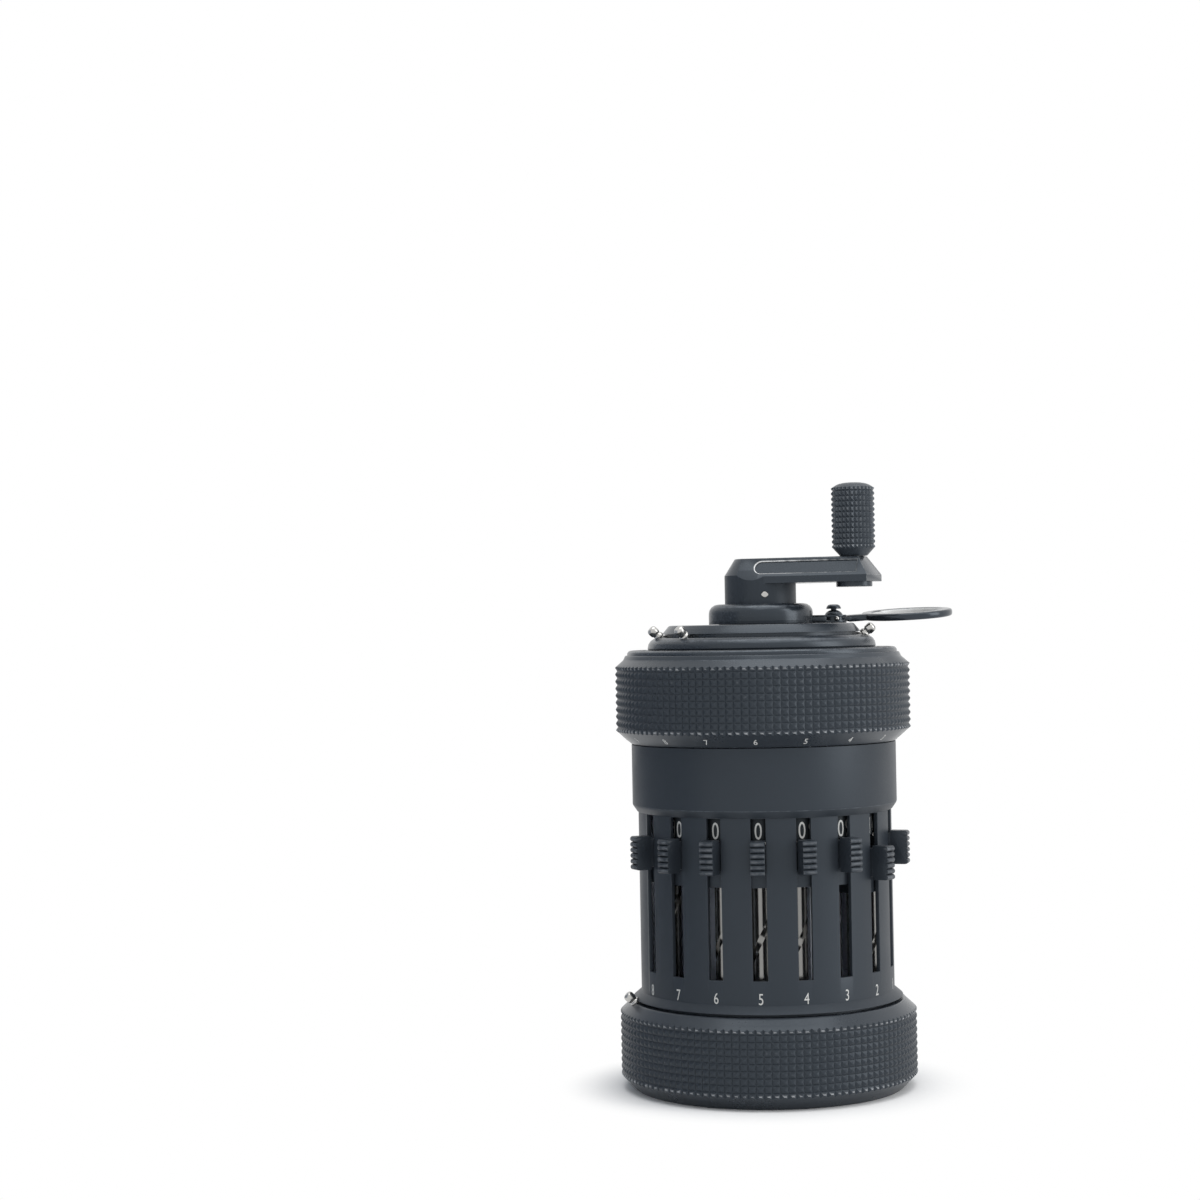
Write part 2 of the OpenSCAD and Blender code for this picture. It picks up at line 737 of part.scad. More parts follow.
// Hub on the dome, the bar with a forked end, and the pivot with its round head
module clearing_lever() {
    spigot_r = cover_hole_r - run_gap;
    bore = hub_r + 2 * run_gap;
    edge = clearing_edge_r;
    eye_r = bar_w / 2;
    color("dimgray") {
        difference() {
            union() {
                rotate_extrude() polygon(concat(
                    [[bore, clearing_top]],
                    quarter_round(clearing_d / 2 - edge, clearing_top - edge, edge, edge),
                    [[clearing_d / 2, clearing_z], [spigot_r, clearing_z], [spigot_r, clearing_z - cover_t],
                     [bore, clearing_z - cover_t]]
                ));
                around(lever_deg) {
                    translate([-bar_w / 2, -pivot_r, clearing_z])
                        cube([bar_w, pivot_r - clearing_d / 2 + 1, bar_t]);
                    translate([0, -pivot_r, clearing_z]) cylinder(r = eye_r, h = bar_t);
                }
            }
            around(lever_deg) translate([0, -pivot_r, clearing_z + (bar_t - fork_slot) / 2])
                cylinder(r = fork_cut_r, h = fork_slot);
        }
        around(lever_deg) translate([0, -pivot_r, clearing_z]) pivot_button();
    }
}

// Pin through the fork, and above the bar a domed foot, a neck and a rounded head
module pivot_button() {
    head_z = pivot_h - button_head_h;
    rotate_extrude() polygon(concat(
        [[0, pivot_h]],
        quarter_round(button_flat_r, head_z, button_head_r - button_flat_r, button_head_h),
        [[button_neck_r, head_z]],
        quarter_round(button_neck_r, bar_t, button_foot_r - button_neck_r, button_foot_h),
        [[pivot_pin_r, bar_t], [pivot_pin_r, 0], [0, 0]]
    ));
}

// Finger ring: a tongue in the fork, a short stem and the round loop
module finger_ring() {
    mid_z = clearing_z + bar_t / 2;
    eye_r = bar_w / 2 - 0.3;
    stem_from = bar_w / 2 + 0.4 + pivot_r;
    loop_r = stem_from + stem_len + ring_d / 2;
    color("dimgray") around(lever_deg) difference() {
        union() {
            translate([0, -pivot_r, mid_z - tongue_t / 2]) cylinder(r = eye_r, h = tongue_t);
            translate([-stem_wide / 2, -stem_from - 0.4, mid_z - tongue_t / 2])
                cube([stem_wide, stem_from + 0.4 - pivot_r, tongue_t]);
            translate([0, -stem_from, mid_z]) rotate([-ring_lift_deg, -ring_twist_deg, 0]) translate([0, stem_from, 0]) {
                translate([-stem_wide / 2, -loop_r + ring_d / 2 - ring_w / 2, -ring_t / 2])
                    cube([stem_wide, loop_r - ring_d / 2 + ring_w / 2 - stem_from, ring_t]);
                translate([0, -loop_r, 0]) loop();
            }
        }
        translate([0, -pivot_r, mid_z - ring_t]) cylinder(r = pivot_pin_r + run_gap, h = 2 * ring_t);
    }
}

module loop() {
    r = ring_d / 2;
    edge = ring_t * 0.3;
    rotate_extrude() polygon([
        [r - ring_w + edge, -ring_t / 2], [r - edge, -ring_t / 2], [r, -ring_t / 2 + edge], [r, ring_t / 2 - edge],
        [r - edge, ring_t / 2], [r - ring_w + edge, ring_t / 2], [r - ring_w, ring_t / 2 - edge],
        [r - ring_w, -ring_t / 2 + edge]
    ]);
}

// Decimal marker: its foot runs in a groove of depth marker_groove_d at radius edge_r
module marker(edge_r, z) {
    color("silver") {
        translate([-marker_w / 2, -edge_r - marker_foot_out, z + run_gap])
            cube([marker_w, marker_groove_d + marker_foot_out - slide_gap, marker_foot_t]);
        translate([0, -edge_r, z + run_gap + marker_foot_t]) rotate([marker_lean_deg, 0, 0])
            cylinder(d = marker_pin_d, h = marker_pin_len);
    }
}

module upper_marker(m) {
    around(upper_marker_deg[m - 1]) marker(marker_ledge_r, marker_ledge_z);
}

module lower_marker() {
    around(lower_marker_deg) marker(collar_d / 2, collar_z);
}

// Lever at the back that reverses the counter, with a round button outside its slot
module reversing_lever() {
    neck_r = reverse_w / 2 - slide_gap;
    inside = housing_ri - pass_gap;
    outside = housing_r + pass_gap;
    color("dimgray") around(180) translate([0, 0, reverse_z]) rotate([90, 0, 0]) {
        translate([0, 0, inside - 1.5]) cylinder(r = reverse_w / 2 + 0.8, h = 1.5);
        translate([0, 0, inside - 0.5]) cylinder(r = neck_r, h = outside - inside + 1);
        translate([0, 0, outside]) cylinder(r = reverse_button_r, h = 1.6);
        translate([0, 0, outside + 1.6]) cylinder(r1 = reverse_button_r, r2 = reverse_button_r - 0.6, h = 0.6);
    }
}

// Thumb piece with round grip ribs, drawn in the plane of the shaft: x out, y up
module thumb_outline() {
    foot = housing_r + pass_gap;
    rib = thumb_h / thumb_ribs / 2;
    translate([foot, 0]) square([thumb_out - pass_gap - rib, thumb_h]);
    for (i = [0:thumb_ribs - 1]) translate([housing_r + thumb_out - rib, rib * (2 * i + 1)]) circle(r = rib);
}

// Slider: thumb piece, stem in the slot, block round the spindle with its guide pin, and the gear fork
module slider(k) {
    drop = digit_step * set_digit[k - 1];
    stem_z = thumb_z + stem_short;
    gear_low = gear_z;
    color("dimgray") around(slider_deg(k)) translate([0, 0, -drop]) {
        difference() {
            union() {
                translate([thumb_w / 2, 0, thumb_z]) rotate([90, 0, -90]) linear_extrude(thumb_w) thumb_outline();
                translate([-stem_w / 2, -housing_r - pass_gap - 0.5, stem_z])
                    cube([stem_w, housing_r + pass_gap + 0.5 - block_out + 0.5, stem_h]);
                translate([-block_w / 2, -block_out, block_z]) cube([block_w, block_out - block_in, block_h]);
                for (z = [gear_low - slide_gap / 2 - fork_t, gear_low + gear_t + slide_gap / 2])
                    translate([-fork_w / 2, -block_in - 0.1, z]) cube([fork_w, block_in + 0.1 - fork_in, fork_t]);
            }
            translate([0, -spindle_r, block_z - 1]) cylinder(r = spindle_rad + slide_gap, h = block_h + 2);
            translate([0, -trans_r, gear_low - 3]) cylinder(r = fork_hole_r, h = 6);
        }
        translate([0, -spindle_r + spindle_rad - groove_deep + slide_gap, pin_z]) rotate([-90, 0, 0])
            cylinder(r = pin_r, h = groove_deep + 0.4);
        translate([0, -trans_r, gear_low]) linear_extrude(gear_t) difference() {
            polygon(gear_outline(gear_teeth, gear_root_r, gear_tip_r));
            square(trans_side + slide_gap, center = true);
        }
    }
}

// Setting spindle: journals, the helical groove that the slider's pin follows, and the digit drum
module spindle(k) {
    groove_low = pin_z - travel - groove_over;
    groove_h = travel + 2 * groove_over;
    foot = lower_top + run_gap;
    head = upper_z - run_gap;
    low_turn = helix_rate * (pin_z - groove_low);
    color("silver") around(slider_deg(k)) translate([0, -spindle_r, 0])
        rotate([0, 0, turn_per_digit * set_digit[k - 1]]) difference() {
            union() {
                translate([0, 0, foot - journal_h]) cylinder(r = journal_r, h = head - foot + 2 * journal_h);
                translate([0, 0, foot]) cylinder(r = spindle_rad, h = head - foot);
                translate([0, 0, digit_drum_z]) cylinder(r = digit_drum_r, h = digit_drum_h);
            }
            translate([0, 0, groove_low]) rotate([0, 0, -low_turn])
                linear_extrude(height = groove_h, twist = -helix_rate * groove_h, slices = 26, segments = 4)
                    translate([-groove_w / 2, spindle_rad - groove_deep]) square([groove_w, groove_deep + 0.4]);
        }
}

base_ring();
base_plate();
marker_collar();
setting_housing();
body_band();
lower_plate();
upper_plate();
transmission_shafts();
thrust_sleeve();
main_shaft();
step_drum();
carry_bell();
crank_arm();
crank_pin();
crank_knob();
carriage_sleeve();
carriage_spring();
carriage_ring();
carriage_cover();
dial_frame();
clearing_lever();
finger_ring();
lower_marker();
reversing_lever();
for (m = [1:3]) upper_marker(m);
for (k = [1:slider_n]) slider(k);
for (k = [1:slider_n]) spindle(k);
for (n = [1:result_n]) dial(n);
for (n = [1:counter_n]) dial(result_n + n);
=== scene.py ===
# %% [markdown]
# # A hand-held mechanical calculator
# The object is a black cylinder that fits in a hand. Eight sliders set a number, a crank on top adds it,
# and the knurled carriage above the band shows the result. The solid model already gives every piece its
# place and size, so this lesson dresses it: finer meshes where a surface shows, and a finish for every
# piece.

# %% Load the frame
import json
import math

import bmesh
import bpy
from mathutils import Matrix, Vector

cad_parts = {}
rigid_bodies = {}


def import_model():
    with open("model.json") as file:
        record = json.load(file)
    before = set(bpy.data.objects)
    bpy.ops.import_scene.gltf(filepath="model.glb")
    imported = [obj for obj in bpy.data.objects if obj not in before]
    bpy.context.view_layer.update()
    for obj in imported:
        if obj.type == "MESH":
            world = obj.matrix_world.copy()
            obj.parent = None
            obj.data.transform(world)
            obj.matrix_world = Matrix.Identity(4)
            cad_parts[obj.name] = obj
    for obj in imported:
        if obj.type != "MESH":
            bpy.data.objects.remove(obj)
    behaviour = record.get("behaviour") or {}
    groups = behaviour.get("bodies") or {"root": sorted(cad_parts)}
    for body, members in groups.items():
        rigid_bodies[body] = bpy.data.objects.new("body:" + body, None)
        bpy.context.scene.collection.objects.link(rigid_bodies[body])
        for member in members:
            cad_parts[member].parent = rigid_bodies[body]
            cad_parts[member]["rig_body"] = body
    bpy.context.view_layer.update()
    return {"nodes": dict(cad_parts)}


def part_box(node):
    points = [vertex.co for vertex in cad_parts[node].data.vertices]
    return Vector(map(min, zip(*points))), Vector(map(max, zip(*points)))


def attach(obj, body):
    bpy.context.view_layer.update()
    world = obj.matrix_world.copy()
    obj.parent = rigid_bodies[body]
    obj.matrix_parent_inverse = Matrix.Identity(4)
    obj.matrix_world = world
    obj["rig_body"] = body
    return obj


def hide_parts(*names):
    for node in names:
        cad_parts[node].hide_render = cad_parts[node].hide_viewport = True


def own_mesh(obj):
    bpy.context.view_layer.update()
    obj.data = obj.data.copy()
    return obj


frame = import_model()
scene = bpy.context.scene
MM = 0.001

# %% [markdown]
# ## The camera
# The camera stands a little to the left of the setting side, at about two thirds of the object's height,
# and looks almost level. Its place was worked out from the ellipses of the two knurled rings. The object
# stands right of the middle of the picture, so the camera is turned a little to the left of it.

# %% Camera
CAMERA_LENS = 73.25
CAMERA_SENSOR = 36
CAMERA_NEAR = 0.01
CAMERA_DISTANCE = 440.4
CAMERA_HEIGHT = 82.4
CAMERA_SIDE = math.radians(-7)
CAMERA_YAW = math.radians(3.76)
CAMERA_PITCH = math.radians(0.655)
CAMERA_ROLL = math.radians(-1.04)
QUARTER_TURN = math.pi / 2

camera = bpy.data.objects.new("camera", bpy.data.cameras.new("camera"))
scene.collection.objects.link(camera)
scene.camera = camera
camera.data.lens = CAMERA_LENS
camera.data.sensor_width = CAMERA_SENSOR
camera.data.clip_start = CAMERA_NEAR
eye = Matrix.Rotation(CAMERA_SIDE, 4, "Z") @ Vector((0, -CAMERA_DISTANCE, CAMERA_HEIGHT))
heading = Matrix.Rotation(CAMERA_SIDE + CAMERA_YAW, 4, "Z")
aim = heading @ Matrix.Rotation(QUARTER_TURN + CAMERA_PITCH, 4, "X")
camera.matrix_world = Matrix.Translation(eye * MM) @ aim @ Matrix.Rotation(CAMERA_ROLL, 4, "Z")
print("camera at", [round(value) for value in eye], "mm")

# %% [markdown]
# ## Light and floor
# Small black products are photographed in a white tent, because black shows only what it reflects. Here
# the world is the tent. Camera and mirror rays see it as plain white, and a weaker value lights the
# object. Two soft boxes, from above and from the right, draw the edges, and a dark card on the left,
# which the camera doesn't see, keeps that side calm. The white floor catches a narrow shadow round the
# object and runs out into the tent's white further away, so that no horizon shows.


# %% Node helpers
def set_inputs(node, values):
    """Sets sockets by name. An underscore in a name stands for a space."""
    for name, value in values.items():
        node.inputs[name.replace("_", " ")].default_value = value


def add_node(tree, kind, operation=None, **values):
    node = tree.nodes.new("ShaderNode" + kind)
    if operation:
        node.operation = operation
    set_inputs(node, values)
    return node


def wire(tree, *links):
    """Joins sockets. A link is a node, its output, the next node and its input."""
    for start, output, end, entry in links:
        tree.links.new(start.outputs[output], end.inputs[entry])


# %% World
WORLD_LIGHT = 0.74
TENT_LIGHT = (0.97, 0.985, 1, 1)
WHITE = (1, 1, 1, 1)


def seen_directly(tree):
    """A node whose value is 1 for rays from the camera, from a mirror or through glass."""
    path = add_node(tree, "LightPath")
    mirror = add_node(tree, "Math", "MAXIMUM")
    straight = add_node(tree, "Math", "MAXIMUM")
    wire(
        tree,
        (path, "Is Glossy Ray", mirror, 0),
        (path, "Is Transmission Ray", mirror, 1),
        (path, "Is Camera Ray", straight, 0),
        (mirror, 0, straight, 1),
    )
    return straight


def white_tent():
    world = bpy.data.worlds.new("white_tent")
    world.use_nodes = True
    tree = world.node_tree
    tree.nodes.clear()
    seen = add_node(tree, "Background", Color=WHITE, Strength=1)
    light = add_node(tree, "Background", Color=TENT_LIGHT, Strength=WORLD_LIGHT)
    choose = add_node(tree, "MixShader")
    end = add_node(tree, "OutputWorld")
    wire(
        tree,
        (seen_directly(tree), 0, choose, "Fac"),
        (light, 0, choose, 1),
        (seen, 0, choose, 2),
        (choose, 0, end, "Surface"),
    )
    return world


scene.world = white_tent()
scene.view_settings.view_transform = "Standard"
print("world light", WORLD_LIGHT)


# %% Soft boxes
def soft_box(name, place, target, size, power):
    lamp = bpy.data.lights.new(name, "AREA")
    lamp.shape = "RECTANGLE"
    lamp.size = size[0]
    lamp.size_y = size[1]
    lamp.energy = power
    box = bpy.data.objects.new(name, lamp)
    scene.collection.objects.link(box)
    box.location = place
    box.rotation_mode = "QUATERNION"
    box.rotation_quaternion = (Vector(target) - Vector(place)).to_track_quat("-Z", "Y")
    return box


OBJECT_MIDDLE = (0, 0, 0.055)
soft_box("top_box", (0.05, -0.1, 0.75), OBJECT_MIDDLE, (0.7, 0.6), 2.4)
soft_box("right_box", (0.62, -0.28, 0.3), OBJECT_MIDDLE, (0.35, 0.6), 2.0)
print("soft boxes", [lamp.name for lamp in bpy.data.lights])


# %% Material and object helpers
def new_material(name, **values):
    """A material, its nodes and its Principled surface, which gets the values on its sockets."""
    material = bpy.data.materials.new(name)
    material.use_nodes = True
    surface = material.node_tree.nodes["Principled BSDF"]
    set_inputs(surface, values)
    return material, material.node_tree, surface


def mesh_object(name, bm, materials):
    """Ends a mesh under construction and puts it into the scene as an object."""
    mesh = bpy.data.meshes.new(name)
    bm.to_mesh(mesh)
    bm.free()
    for material in materials:
        mesh.materials.append(material)
    made = bpy.data.objects.new(name, mesh)
    scene.collection.objects.link(made)
    return made


def move(bm, matrix):
    bmesh.ops.transform(bm, matrix=matrix, verts=bm.verts)


def sheet(half):
    bm = bmesh.new()
    bmesh.ops.create_grid(bm, x_segments=1, y_segments=1, size=half)
    return bm


# %% Dark card
CARD_PLACE = (-0.085, 0.025, 0.06)
CARD_SIZE = (0.16, 0.12, 1)
CARD_GREY = (0.4, 0.43, 0.48, 1)


def dark_card():
    grey = new_material("card_grey", Base_Color=CARD_GREY, Roughness=0.8)[0]
    bm = sheet(0.5)
    bmesh.ops.scale(bm, vec=CARD_SIZE, verts=bm.verts)
    upright = Matrix.Rotation(QUARTER_TURN, 4, "Z") @ Matrix.Rotation(QUARTER_TURN, 4, "X")
    move(bm, Matrix.Translation(CARD_PLACE) @ upright)
    card = mesh_object("dark_card", bm, [grey])
    card.visible_camera = False
    return card


dark_card()
print("dark card", CARD_SIZE[:2], "m")

# %% Floor
FLOOR_HALF = 1.6
FLOOR_WHITE = (0.93, 0.93, 0.93, 1)
FADE_FROM = 0.025
FADE_TO = 0.038


def floor_paper():
    """Matt white paper that runs out into the tent's plain white away from the object."""
    paper, tree, surface = new_material(
        "floor_paper", Base_Color=FLOOR_WHITE, Roughness=0.9, Specular_IOR_Level=0,
    )
    glow = add_node(tree, "Emission")
    place = add_node(tree, "TexCoord")
    away = add_node(tree, "VectorMath", "LENGTH")
    fade = add_node(tree, "MapRange", From_Min=FADE_FROM, From_Max=FADE_TO)
    fade.interpolation_type = "SMOOTHSTEP"
    seen = add_node(tree, "Math", "MULTIPLY")
    blend = add_node(tree, "MixShader")
    wire(
        tree,
        (place, "Object", away, 0),
        (away, "Value", fade, "Value"),
        (fade, "Result", seen, 0),
        (seen_directly(tree), 0, seen, 1),
        (seen, 0, blend, "Fac"),
        (surface, 0, blend, 1),
        (glow, 0, blend, 2),
        (blend, 0, tree.nodes["Material Output"], "Surface"),
    )
    return paper


mesh_object("floor", sheet(FLOOR_HALF), [floor_paper()])
print("floor", 2 * FLOOR_HALF, "m wide")

# %% [markdown]
# ## Shared surface effects
# Four effects come back in several finishes, so each is a shader group. Grain is the fine unevenness of a
# sprayed or moulded surface. Turning marks are the faint rings that a lathe leaves, and depend only on
# height and on the distance from the middle. Smudges are the large soft marks that hands leave in the
# gloss. Worn edges and painted highlights read one mesh attribute. The modelling steps set it as wear on
# rounded edges and on the points of a knurl. On the crank's panel rims and the slider rib crests it is a
# painted highlight that is partly wear. It runs from 0 for whole enamel to 1 for the most rubbed or
# brightest.


# %% Shader groups
def shader_group(name, inputs, outputs):
    group = bpy.data.node_groups.new(name, "ShaderNodeTree")
    for socket, value in inputs:
        made = group.interface.new_socket(socket, in_out="INPUT", socket_type="NodeSocketFloat")
        made.default_value = value
    for socket in outputs:
        group.interface.new_socket(socket, in_out="OUTPUT", socket_type="NodeSocketFloat")
    return group, group.nodes.new("NodeGroupInput"), group.nodes.new("NodeGroupOutput")


def noise(group, start, detail):
    """Noise over the piece's own coordinates, at the group's scale."""
    place = add_node(group, "TexCoord")
    texture = add_node(group, "TexNoise", Detail=detail)
    wire(group, (place, "Object", texture, "Vector"), (start, "Scale", texture, "Scale"))
    return texture


# %% Grain and turning marks
def grain_group():
    sockets = [("Scale", 3000), ("Low", 0.35), ("High", 0.5)]
    group, start, end = shader_group("surface_grain", sockets, ["Height", "Roughness"])
    value = noise(group, start, 3)
    spread = add_node(group, "MapRange")
    wire(
        group,
        (value, "Fac", spread, "Value"),
        (start, "Low", spread, "To Min"),
        (start, "High", spread, "To Max"),
        (value, "Fac", end, "Height"),
        (spread, "Result", end, "Roughness"),
    )
    return group


def turning_group():
    group, start, end = shader_group("turning_marks", [("Scale", 2500)], ["Height"])
    place = add_node(group, "TexCoord")
    apart = add_node(group, "SeparateXYZ")
    across = add_node(group, "CombineXYZ")
    reach = add_node(group, "VectorMath", "LENGTH")
    section = add_node(group, "CombineXYZ")
    rings = add_node(group, "TexNoise", Detail=3)
    wire(
        group,
        (place, "Object", apart, 0),
        (apart, "X", across, "X"),
        (apart, "Y", across, "Y"),
        (across, 0, reach, 0),
        (reach, "Value", section, "X"),
        (apart, "Z", section, "Z"),
        (section, 0, rings, "Vector"),
        (start, "Scale", rings, "Scale"),
        (rings, "Fac", end, "Height"),
    )
    return group


# %% Smudges and worn edges
SMUDGE_FROM = 0.35
SMUDGE_TO = 0.7
WEAR_AND_HIGHLIGHT_WEIGHT = 0.6


def smudge_group():
    group, start, end = shader_group("hand_smudges", [("Scale", 90), ("Strength", 0.1)], ["Roughness"])
    spread = add_node(group, "MapRange", From_Min=SMUDGE_FROM, From_Max=SMUDGE_TO)
    scaled = add_node(group, "Math", "MULTIPLY")
    wire(
        group,
        (noise(group, start, 4), "Fac", spread, "Value"),
        (spread, "Result", scaled, 0),
        (start, "Strength", scaled, 1),
        (scaled, 0, end, "Roughness"),
    )
    return group


def wear_group():
    sockets = [("Scale", 900), ("From", 0.4), ("To", 0.9)]
    group, start, end = shader_group("worn_and_highlit_edges", sockets, ["Mask"])
    wear_and_highlight = add_node(group, "Attribute")
    wear_and_highlight.attribute_name = "wear_and_highlight"
    added = add_node(group, "Math", "MULTIPLY_ADD")
    added.inputs[1].default_value = WEAR_AND_HIGHLIGHT_WEIGHT
    spread = add_node(group, "MapRange")
    shown = add_node(group, "Math", "MULTIPLY")
    wire(
        group,
        (wear_and_highlight, "Fac", added, 0),
        (noise(group, start, 3), "Fac", added, 2),
        (added, 0, spread, "Value"),
        (start, "From", spread, "From Min"),
        (start, "To", spread, "From Max"),
        (spread, "Result", shown, 0),
        (wear_and_highlight, "Fac", shown, 1),
        (shown, 0, end, "Mask"),
    )
    return group


GRAIN = grain_group()
TURNING = turning_group()
SMUDGES = smudge_group()
WEAR_AND_HIGHLIGHT = wear_group()
print("shader groups", [group.name for group in bpy.data.node_groups])

# %% [markdown]
# ## Finishes
# The casing is metal under a thin satin enamel that looks blue grey in white light, and the cover, lever
# and crank on top are glossier. Where fingers rub, the enamel is thinner and lighter, and along a few
# edges the metal shows. The crank's panel rims and the crests of the slider ribs also carry a painted
# highlight in the same way. The knob and the dials are black moulded material, the spindles and markers
# are bare steel, and the figures are white paint.


# %% Finish helper
COOL_GLOSS = (0.8, 0.9, 1, 1)
RELIEF = 0.05 * MM
ROUGH_SPREAD = 0.06
RING_SCALE = 1800
SMUDGE_SCALE = 90
WEAR_AND_HIGHLIGHT_SCALE = 900


def add_group(tree, group, **values):
    node = add_node(tree, "Group")
    node.node_tree = group
    set_inputs(node, values)
    return node


def finish(
    name, colour, roughness, grain, bump, metallic=0.0, mirror=0.5, smudge=0.0, rings=0.0,
    worn_and_highlit=None, worn_and_highlit_range=(1.0, 1.2),
):
    material, tree, surface = new_material(
        name, Base_Color=(*colour, 1), Metallic=metallic, Specular_IOR_Level=mirror,
    )
    if not metallic:
        surface.inputs["Specular Tint"].default_value = COOL_GLOSS
    fine = add_group(tree, GRAIN, Scale=grain, Low=roughness - ROUGH_SPREAD, High=roughness + ROUGH_SPREAD)
    marks = add_group(tree, SMUDGES, Scale=SMUDGE_SCALE, Strength=smudge)
    total = add_node(tree, "Math", "ADD")
    relief = add_node(tree, "Bump", Strength=bump, Distance=RELIEF)
    wire(
        tree,
        (fine, "Roughness", total, 0),
        (marks, "Roughness", total, 1),
        (total, 0, surface, "Roughness"),
        (fine, "Height", relief, "Height"),
        (relief, "Normal", surface, "Normal"),
    )
    if rings:
        lathe = add_group(tree, TURNING, Scale=RING_SCALE)
        grooves = add_node(tree, "Bump", Strength=rings, Distance=RELIEF)
        wire(
            tree,
            (lathe, "Height", grooves, "Height"),
            (relief, "Normal", grooves, "Normal"),
            (grooves, "Normal", surface, "Normal"),
        )
    # Where the mask is set, a second colour shows: worn enamel, and on the arm's panel rims and the thumbs'
    # rib crests a painted highlight as well.
    if worn_and_highlit:
        edges = add_group(tree, WEAR_AND_HIGHLIGHT, Scale=WEAR_AND_HIGHLIGHT_SCALE, From=worn_and_highlit_range[0], To=worn_and_highlit_range[1])
        paint = add_node(tree, "Mix")
        paint.data_type = "RGBA"
        set_inputs(paint, {"A": (*colour, 1), "B": (*worn_and_highlit, 1)})
        wire(tree, (edges, "Mask", paint, "Factor"), (paint, "Result", surface, "Base Color"))
    return material


# %% Enamels
ENAMEL = (0.020, 0.025, 0.032)
RUBBED = (0.085, 0.095, 0.11)
THIN_ENAMEL_AND_HIGHLIGHT = (0.22, 0.23, 0.245)
POINTED = (0.36, 0.37, 0.385)
BARE = (0.62, 0.62, 0.61)
RUBBED_AND_HIGHLIGHT_WHITE = (0.8, 0.8, 0.79)
RUB = {"worn_and_highlit": RUBBED, "worn_and_highlit_range": (0.8, 1.15)}

satin_enamel = finish("satin_enamel", ENAMEL, 0.4, 3200, 0.2, mirror=0.4, smudge=0.08, **RUB)
gloss_enamel = finish("gloss_enamel", ENAMEL, 0.22, 2600, 0.1, smudge=0.1, rings=0.7, **RUB)
turned_enamel = finish("turned_enamel", ENAMEL, 0.26, 2600, 0.1, smudge=0.1, rings=0.5, **RUB)
ring_enamel = finish(
    "ring_enamel", ENAMEL, 0.15, 2600, 0.05, smudge=0.05, worn_and_highlit=BARE, worn_and_highlit_range=(0.6, 1.0),
)
# The arm's second colour is near white: on the panel rims it is a painted highlight as well as rubbed enamel.
arm_enamel = finish(
    "arm_enamel", ENAMEL, 0.22, 2600, 0.1, smudge=0.12, worn_and_highlit=RUBBED_AND_HIGHLIGHT_WHITE, worn_and_highlit_range=(0.6, 1.0),
)
knurl_enamel = finish(
    "knurl_enamel", ENAMEL, 0.42, 3200, 0.2, mirror=0.4, worn_and_highlit=POINTED, worn_and_highlit_range=(0.75, 1.15),
)
# Thumbs: lighter enamel on the rubbed side edges, and a painted highlight on the rib crests that is partly
# rubbed enamel.
thumb_enamel = finish(
    "thumb_enamel", ENAMEL, 0.42, 2600, 0.2, mirror=0.4, worn_and_highlit=THIN_ENAMEL_AND_HIGHLIGHT, worn_and_highlit_range=(0.65, 1.1),
)
print("enamels", len(bpy.data.materials) - 2)

# %% Other finishes
MOULDED = (0.03, 0.036, 0.044)
MOULDED_WORN = (0.34, 0.35, 0.36)
moulded_black = finish(
    "moulded_black", MOULDED, 0.38, 2600, 0.2, worn_and_highlit=MOULDED_WORN, worn_and_highlit_range=(0.6, 1.15),
)
dial_black = finish("dial_black", (0.01, 0.012, 0.014), 0.5, 2600, 0.15, mirror=0.3)
inner_steel = finish("inner_steel", (0.76, 0.8, 0.86), 0.5, 1800, 0.2, metallic=1.0)
ground_steel = finish("ground_steel", (0.25, 0.248, 0.24), 0.19, 2400, 0.1, metallic=1.0, smudge=0.05)
marker_steel = finish("marker_steel", (0.5, 0.495, 0.48), 0.22, 2400, 0.1, metallic=1.0)
figure_white = finish("figure_white", (0.57, 0.57, 0.55), 0.55, 2600, 0.1)
print("finishes", len(bpy.data.materials))

# %% [markdown]
# ## Modelling helpers
# Almost every piece of the casing was turned on a lathe, so its mesh is half of its section spun round
# the middle. A corner of the section that should be round is bevelled while it is still a line, which is
# the simplest moment. Meshes are drawn in millimetres and made metres when they are finished.

# %% Section helpers
AXIS = (0, 0, 1)
CENTRE = (0, 0, 0)
FULL_TURN = 2 * math.pi
ROUND_STEPS = 4
WELD = 0.0005


def new_mesh():
    bm = bmesh.new()
    bm.verts.layers.float.new("wear_and_highlight")
    return bm


def bevel(bm, geom, width, segments, affect, clamp=True):
    return bmesh.ops.bevel(
        bm, geom=geom, offset=width, offset_type="OFFSET", segments=segments, profile=0.5,
        affect=affect, material=-1, clamp_overlap=clamp,
    )


def draw_section(bm, points, closed):
    """Draws (radius, height) or (radius, height, rounding) points as a line in the XZ plane."""
    wear_and_highlight = bm.verts.layers.float["wear_and_highlight"]
    verts = [bm.verts.new((point[0], 0, point[1])) for point in points]
    ends = verts[1:] + verts[:1] if closed else verts[1:]
    for pair in zip(verts, ends):
        bm.edges.new(pair)
    kept = set(verts)
    for vert, point in zip(verts, points):
        if len(point) < 3:
            continue
        corner = vert.co.copy()
        kept.discard(vert)
        arc = bevel(bm, [vert], point[2], ROUND_STEPS, "VERTICES")
        min(arc["verts"], key=lambda v: (v.co - corner).length)[wear_and_highlight] = 1
        kept.update(arc["verts"])
    kept = [vert for vert in kept if vert.is_valid]
    return kept, list({edge for vert in kept for edge in vert.link_edges})


def turn(bm, points, steps, closed=True):
    """Spins a section once round the main axis."""
    verts, edges = draw_section(bm, points, closed)
    bmesh.ops.spin(
        bm, geom=verts + edges, cent=CENTRE, axis=AXIS, angle=FULL_TURN, steps=steps, use_merge=True,
    )
    bmesh.ops.remove_doubles(bm, verts=bm.verts, dist=WELD)


